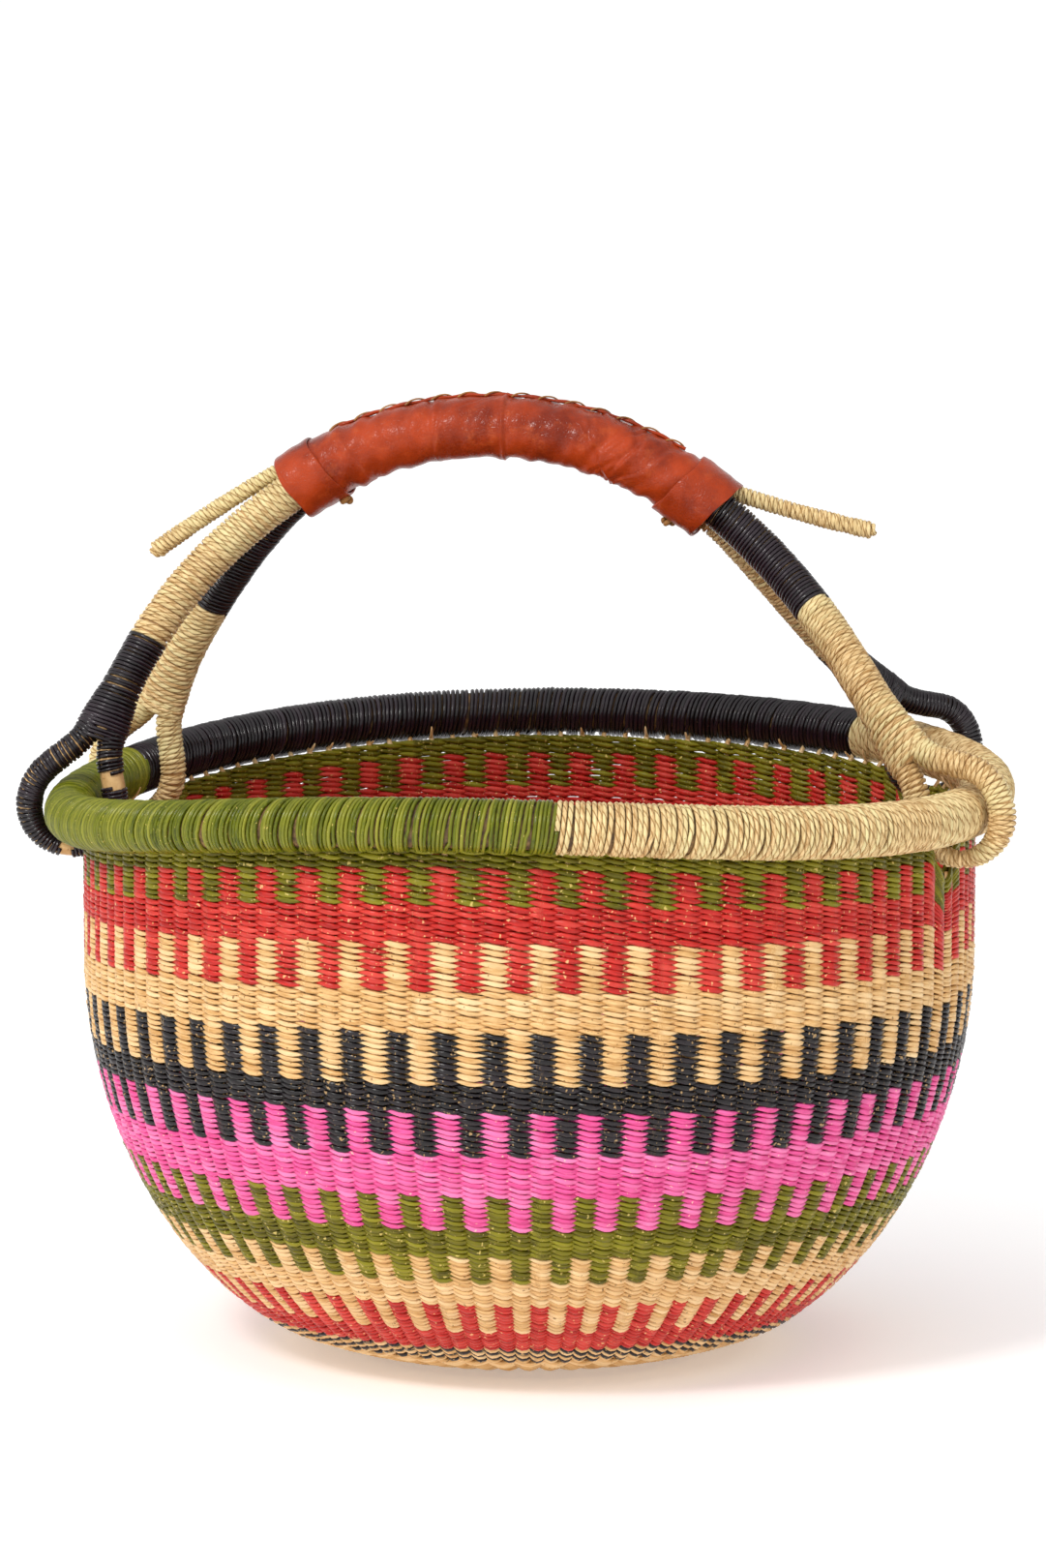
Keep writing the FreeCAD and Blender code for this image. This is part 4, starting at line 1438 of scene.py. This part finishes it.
    def build_knot(self, end: str, angle: float) -> None:
        """Build a small overhand knot: a tube along a trefoil, with two cut ends.

        The trefoil is (sin t + 2 sin 2t, cos t - 2 cos 2t, -sin 3t), scaled to the knot.
        """
        t = np.linspace(0.35, TURN - 0.35, 90)
        curl = np.stack([np.sin(t) + 2.0 * np.sin(2.0 * t), np.cos(t) - 2.0 * np.cos(2.0 * t),
                         -np.sin(3.0 * t)], axis=-1)
        middle = self.grip_point(np.array(angle), -4.0, -(self.grip_tall + 2.6))
        centre = middle + (self.along * curl[:, :1] + self.across * curl[:, 1:2]
                           + UP * curl[:, 2:]) * 0.85
        patch = sweep(centre, self.across + UP * 0.3, 1.25, 1.25, 8)
        add_leather(f"{end}_tied_knot", patch, THONG, f"{end}_knot")

    def build_tail(self, end: str, place: tuple[float, float], droop: float, bend: float,
                   swell: float, seed: int) -> None:
        """Build a stiff wrapped end above the legs.

        Args:
            end: Left or right.
            place: Where it leaves the grip, across and above the grip's middle.
            droop: Degrees below the level.
            bend: Rise of its far end off a straight line.
            swell: Growth of its radius towards its tip.
            seed: Seed of the hand's unevenness.
        """
        angle, outwards = self.ends[end]
        start = self.grip_point(np.array(angle), *place)
        slope = math.radians(droop)
        way = self.along * (outwards * math.cos(slope)) - UP * math.sin(slope)
        length = self.tail_length

        def at(share: Array) -> Frames:
            centre = start + way * (length * share)[:, None] + UP * (bend * share * share)[:, None]
            first = np.broadcast_to(self.across, centre.shape)
            tangent = unit(way + UP * (bend * share / (0.5 * length))[:, None])
            left = np.clip((1.0 - share) * length / self.tail_radius, 0.0, 1.0)
            radius = (self.tail_radius + swell * share) * np.sqrt(1.0 - (1.0 - left) ** 2)
            radius = np.maximum(radius, 1.2)
            return centre, first, np.cross(tangent, first), radius, radius

        cord = TAIL_WRAPPING.wind(at, length, seed)
        core = self.core_of(stretch(at, -0.04, 0.975), 1.1, 6)
        add_grass(f"{end}_tail_wrapping", joined([cord, core]), Dye.NATURAL_CORD, "handle",
                  f"{end}_tail")

    def build(self) -> None:
        """Build the whole handle."""
        cores: dict[str, list[Patch]] = {"front": [], "back": []}
        for k, leg in enumerate(LEGS):
            cores[leg.name.split("_")[0]] += self.build_leg(leg, 100 + 10 * k)
        self.build_bundles(cores)
        self.build_leather()
        self.build_sewing()
        self.build_tail("left", (-2.5, 10.2), 29.5, -5.0, 0.5, 61)
        self.build_tail("right", (2.0, 10.6), 18.0, 4.0, 0.3, 62)


def dress(node: str, finish: bpy.types.Material) -> None:
    """Give a design node that stays its finish."""
    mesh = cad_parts[node].data
    mesh.materials.clear()
    mesh.materials.append(finish)


# ---------------------------------------------------------------- the studio

@dataclass(frozen=True)
class Studio:
    """Pale floor, soft light and a long lens.

    Attributes:
        lens: Focal length in millimetres on a 36 mm long side.
        distance: Camera to the bowl's axis, in metres.
        elevation: Degrees above the level.
        aim: Point that it looks at, in metres.
        lamps: Each lamp's name, place and side in metres, and power in watts.
    """

    lens: float = 151.1
    distance: float = 3.0
    elevation: float = 7.5
    aim: tuple[float, float, float] = (-0.0029, 0.0, 0.2576)
    lamps: tuple[tuple, ...] = (("key", (-1.3, -2.0, 2.2), 0.6, 42.0),
                                ("fill", (1.9, -1.6, 1.3), 1.6, 7.0))

    def build_floor(self) -> None:
        """Lay a wide pale floor."""
        bpy.ops.mesh.primitive_plane_add(size=40.0, location=(0.0, 0.0, -0.0002))
        floor = bpy.context.object
        floor.name = "floor"
        material = bpy.data.materials.new("pale_paper")
        material.use_nodes = True
        shader = material.node_tree.nodes["Principled BSDF"]
        shader.inputs["Base Color"].default_value = linear("fdfdfd")
        shader.inputs["Roughness"].default_value = 0.9
        shader.inputs["Emission Color"].default_value = linear("ffffff")
        shader.inputs["Emission Strength"].default_value = 0.26
        floor.data.materials.append(material)

    def add_light(self, name: str, place: tuple[float, float, float], size: float,
                  power: float) -> None:
        """Add a square lamp that faces the basket, in metres and watts."""
        lamp = bpy.data.lights.new(name, "AREA")
        lamp.size, lamp.energy = size, power
        lamp.color = (1.0, 0.985, 0.96)
        self.add_holder(name, lamp, Vector(place), Vector((0.0, 0.0, 0.2)) - Vector(place))

    def add_holder(self, name: str, held: bpy.types.ID, place: Vector,
                   way: Vector) -> bpy.types.Object:
        """Put a lamp or a camera at a place, looking one way."""
        holder = bpy.data.objects.new(name, held)
        holder.location = place
        holder.rotation_euler = way.to_track_quat("-Z", "Y").to_euler()
        bpy.context.scene.collection.objects.link(holder)
        return holder

    def build(self) -> None:
        """Build the floor, the lights and the camera."""
        self.build_floor()
        world = bpy.data.worlds.new("studio")
        world.use_nodes = True
        tree = world.node_tree
        background = tree.nodes["Background"]
        background.inputs["Color"].default_value = linear("ffffff")
        way = add_node(tree, "ShaderNodeTexCoord").outputs["Generated"]
        lit, behind = (add_node(tree, "ShaderNodeVectorMath", {0: way, 1: toward},
                                operation="DOT_PRODUCT").outputs["Value"]
                       for toward in ((-0.45, -0.55, 0.70), (0.0, 1.0, 0.0)))
        glow = add_node(tree, "ShaderNodeMapRange", {0: lit, 1: -0.3, 2: 1.0, 3: 0.36, 4: 1.12})
        backdrop = add_node(tree, "ShaderNodeMapRange", {0: behind, 1: 0.86, 2: 0.95, 4: 1.04})
        strength = add_node(tree, "ShaderNodeMath", {0: glow.outputs[0], 1: backdrop.outputs[0]},
                            operation="MAXIMUM")
        tree.links.new(strength.outputs[0], background.inputs["Strength"])
        bpy.context.scene.world = world
        bpy.context.scene.view_settings.view_transform = "Standard"
        for lamp in self.lamps:
            self.add_light(*lamp)
        camera = bpy.data.cameras.new("camera")
        camera.lens, camera.sensor_width = self.lens, 36.0
        rise = math.radians(self.elevation)
        back = Vector((0.0, -math.cos(rise), math.sin(rise)))
        bpy.context.scene.camera = self.add_holder(
            "camera", camera, Vector(self.aim) + back * self.distance, -back)


FINISHES = {dye: dye.value.build() for dye in Dye}
SHADED_STALKS = Stalks().build()
LEATHER = Leather().build()
THONG = Leather("goatskin_thong", "b07c45", "7d5026", "c99f68", 0.9).build()


def main() -> None:
    """Build the basket and its studio."""
    logging.basicConfig(level=logging.INFO, format="%(message)s")
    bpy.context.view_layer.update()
    Studio().build()
    shape = Shape()
    Bowl(shape).build()
    Rim(shape).build()
    Handle(shape).build()


if __name__ == "__main__":
    main()
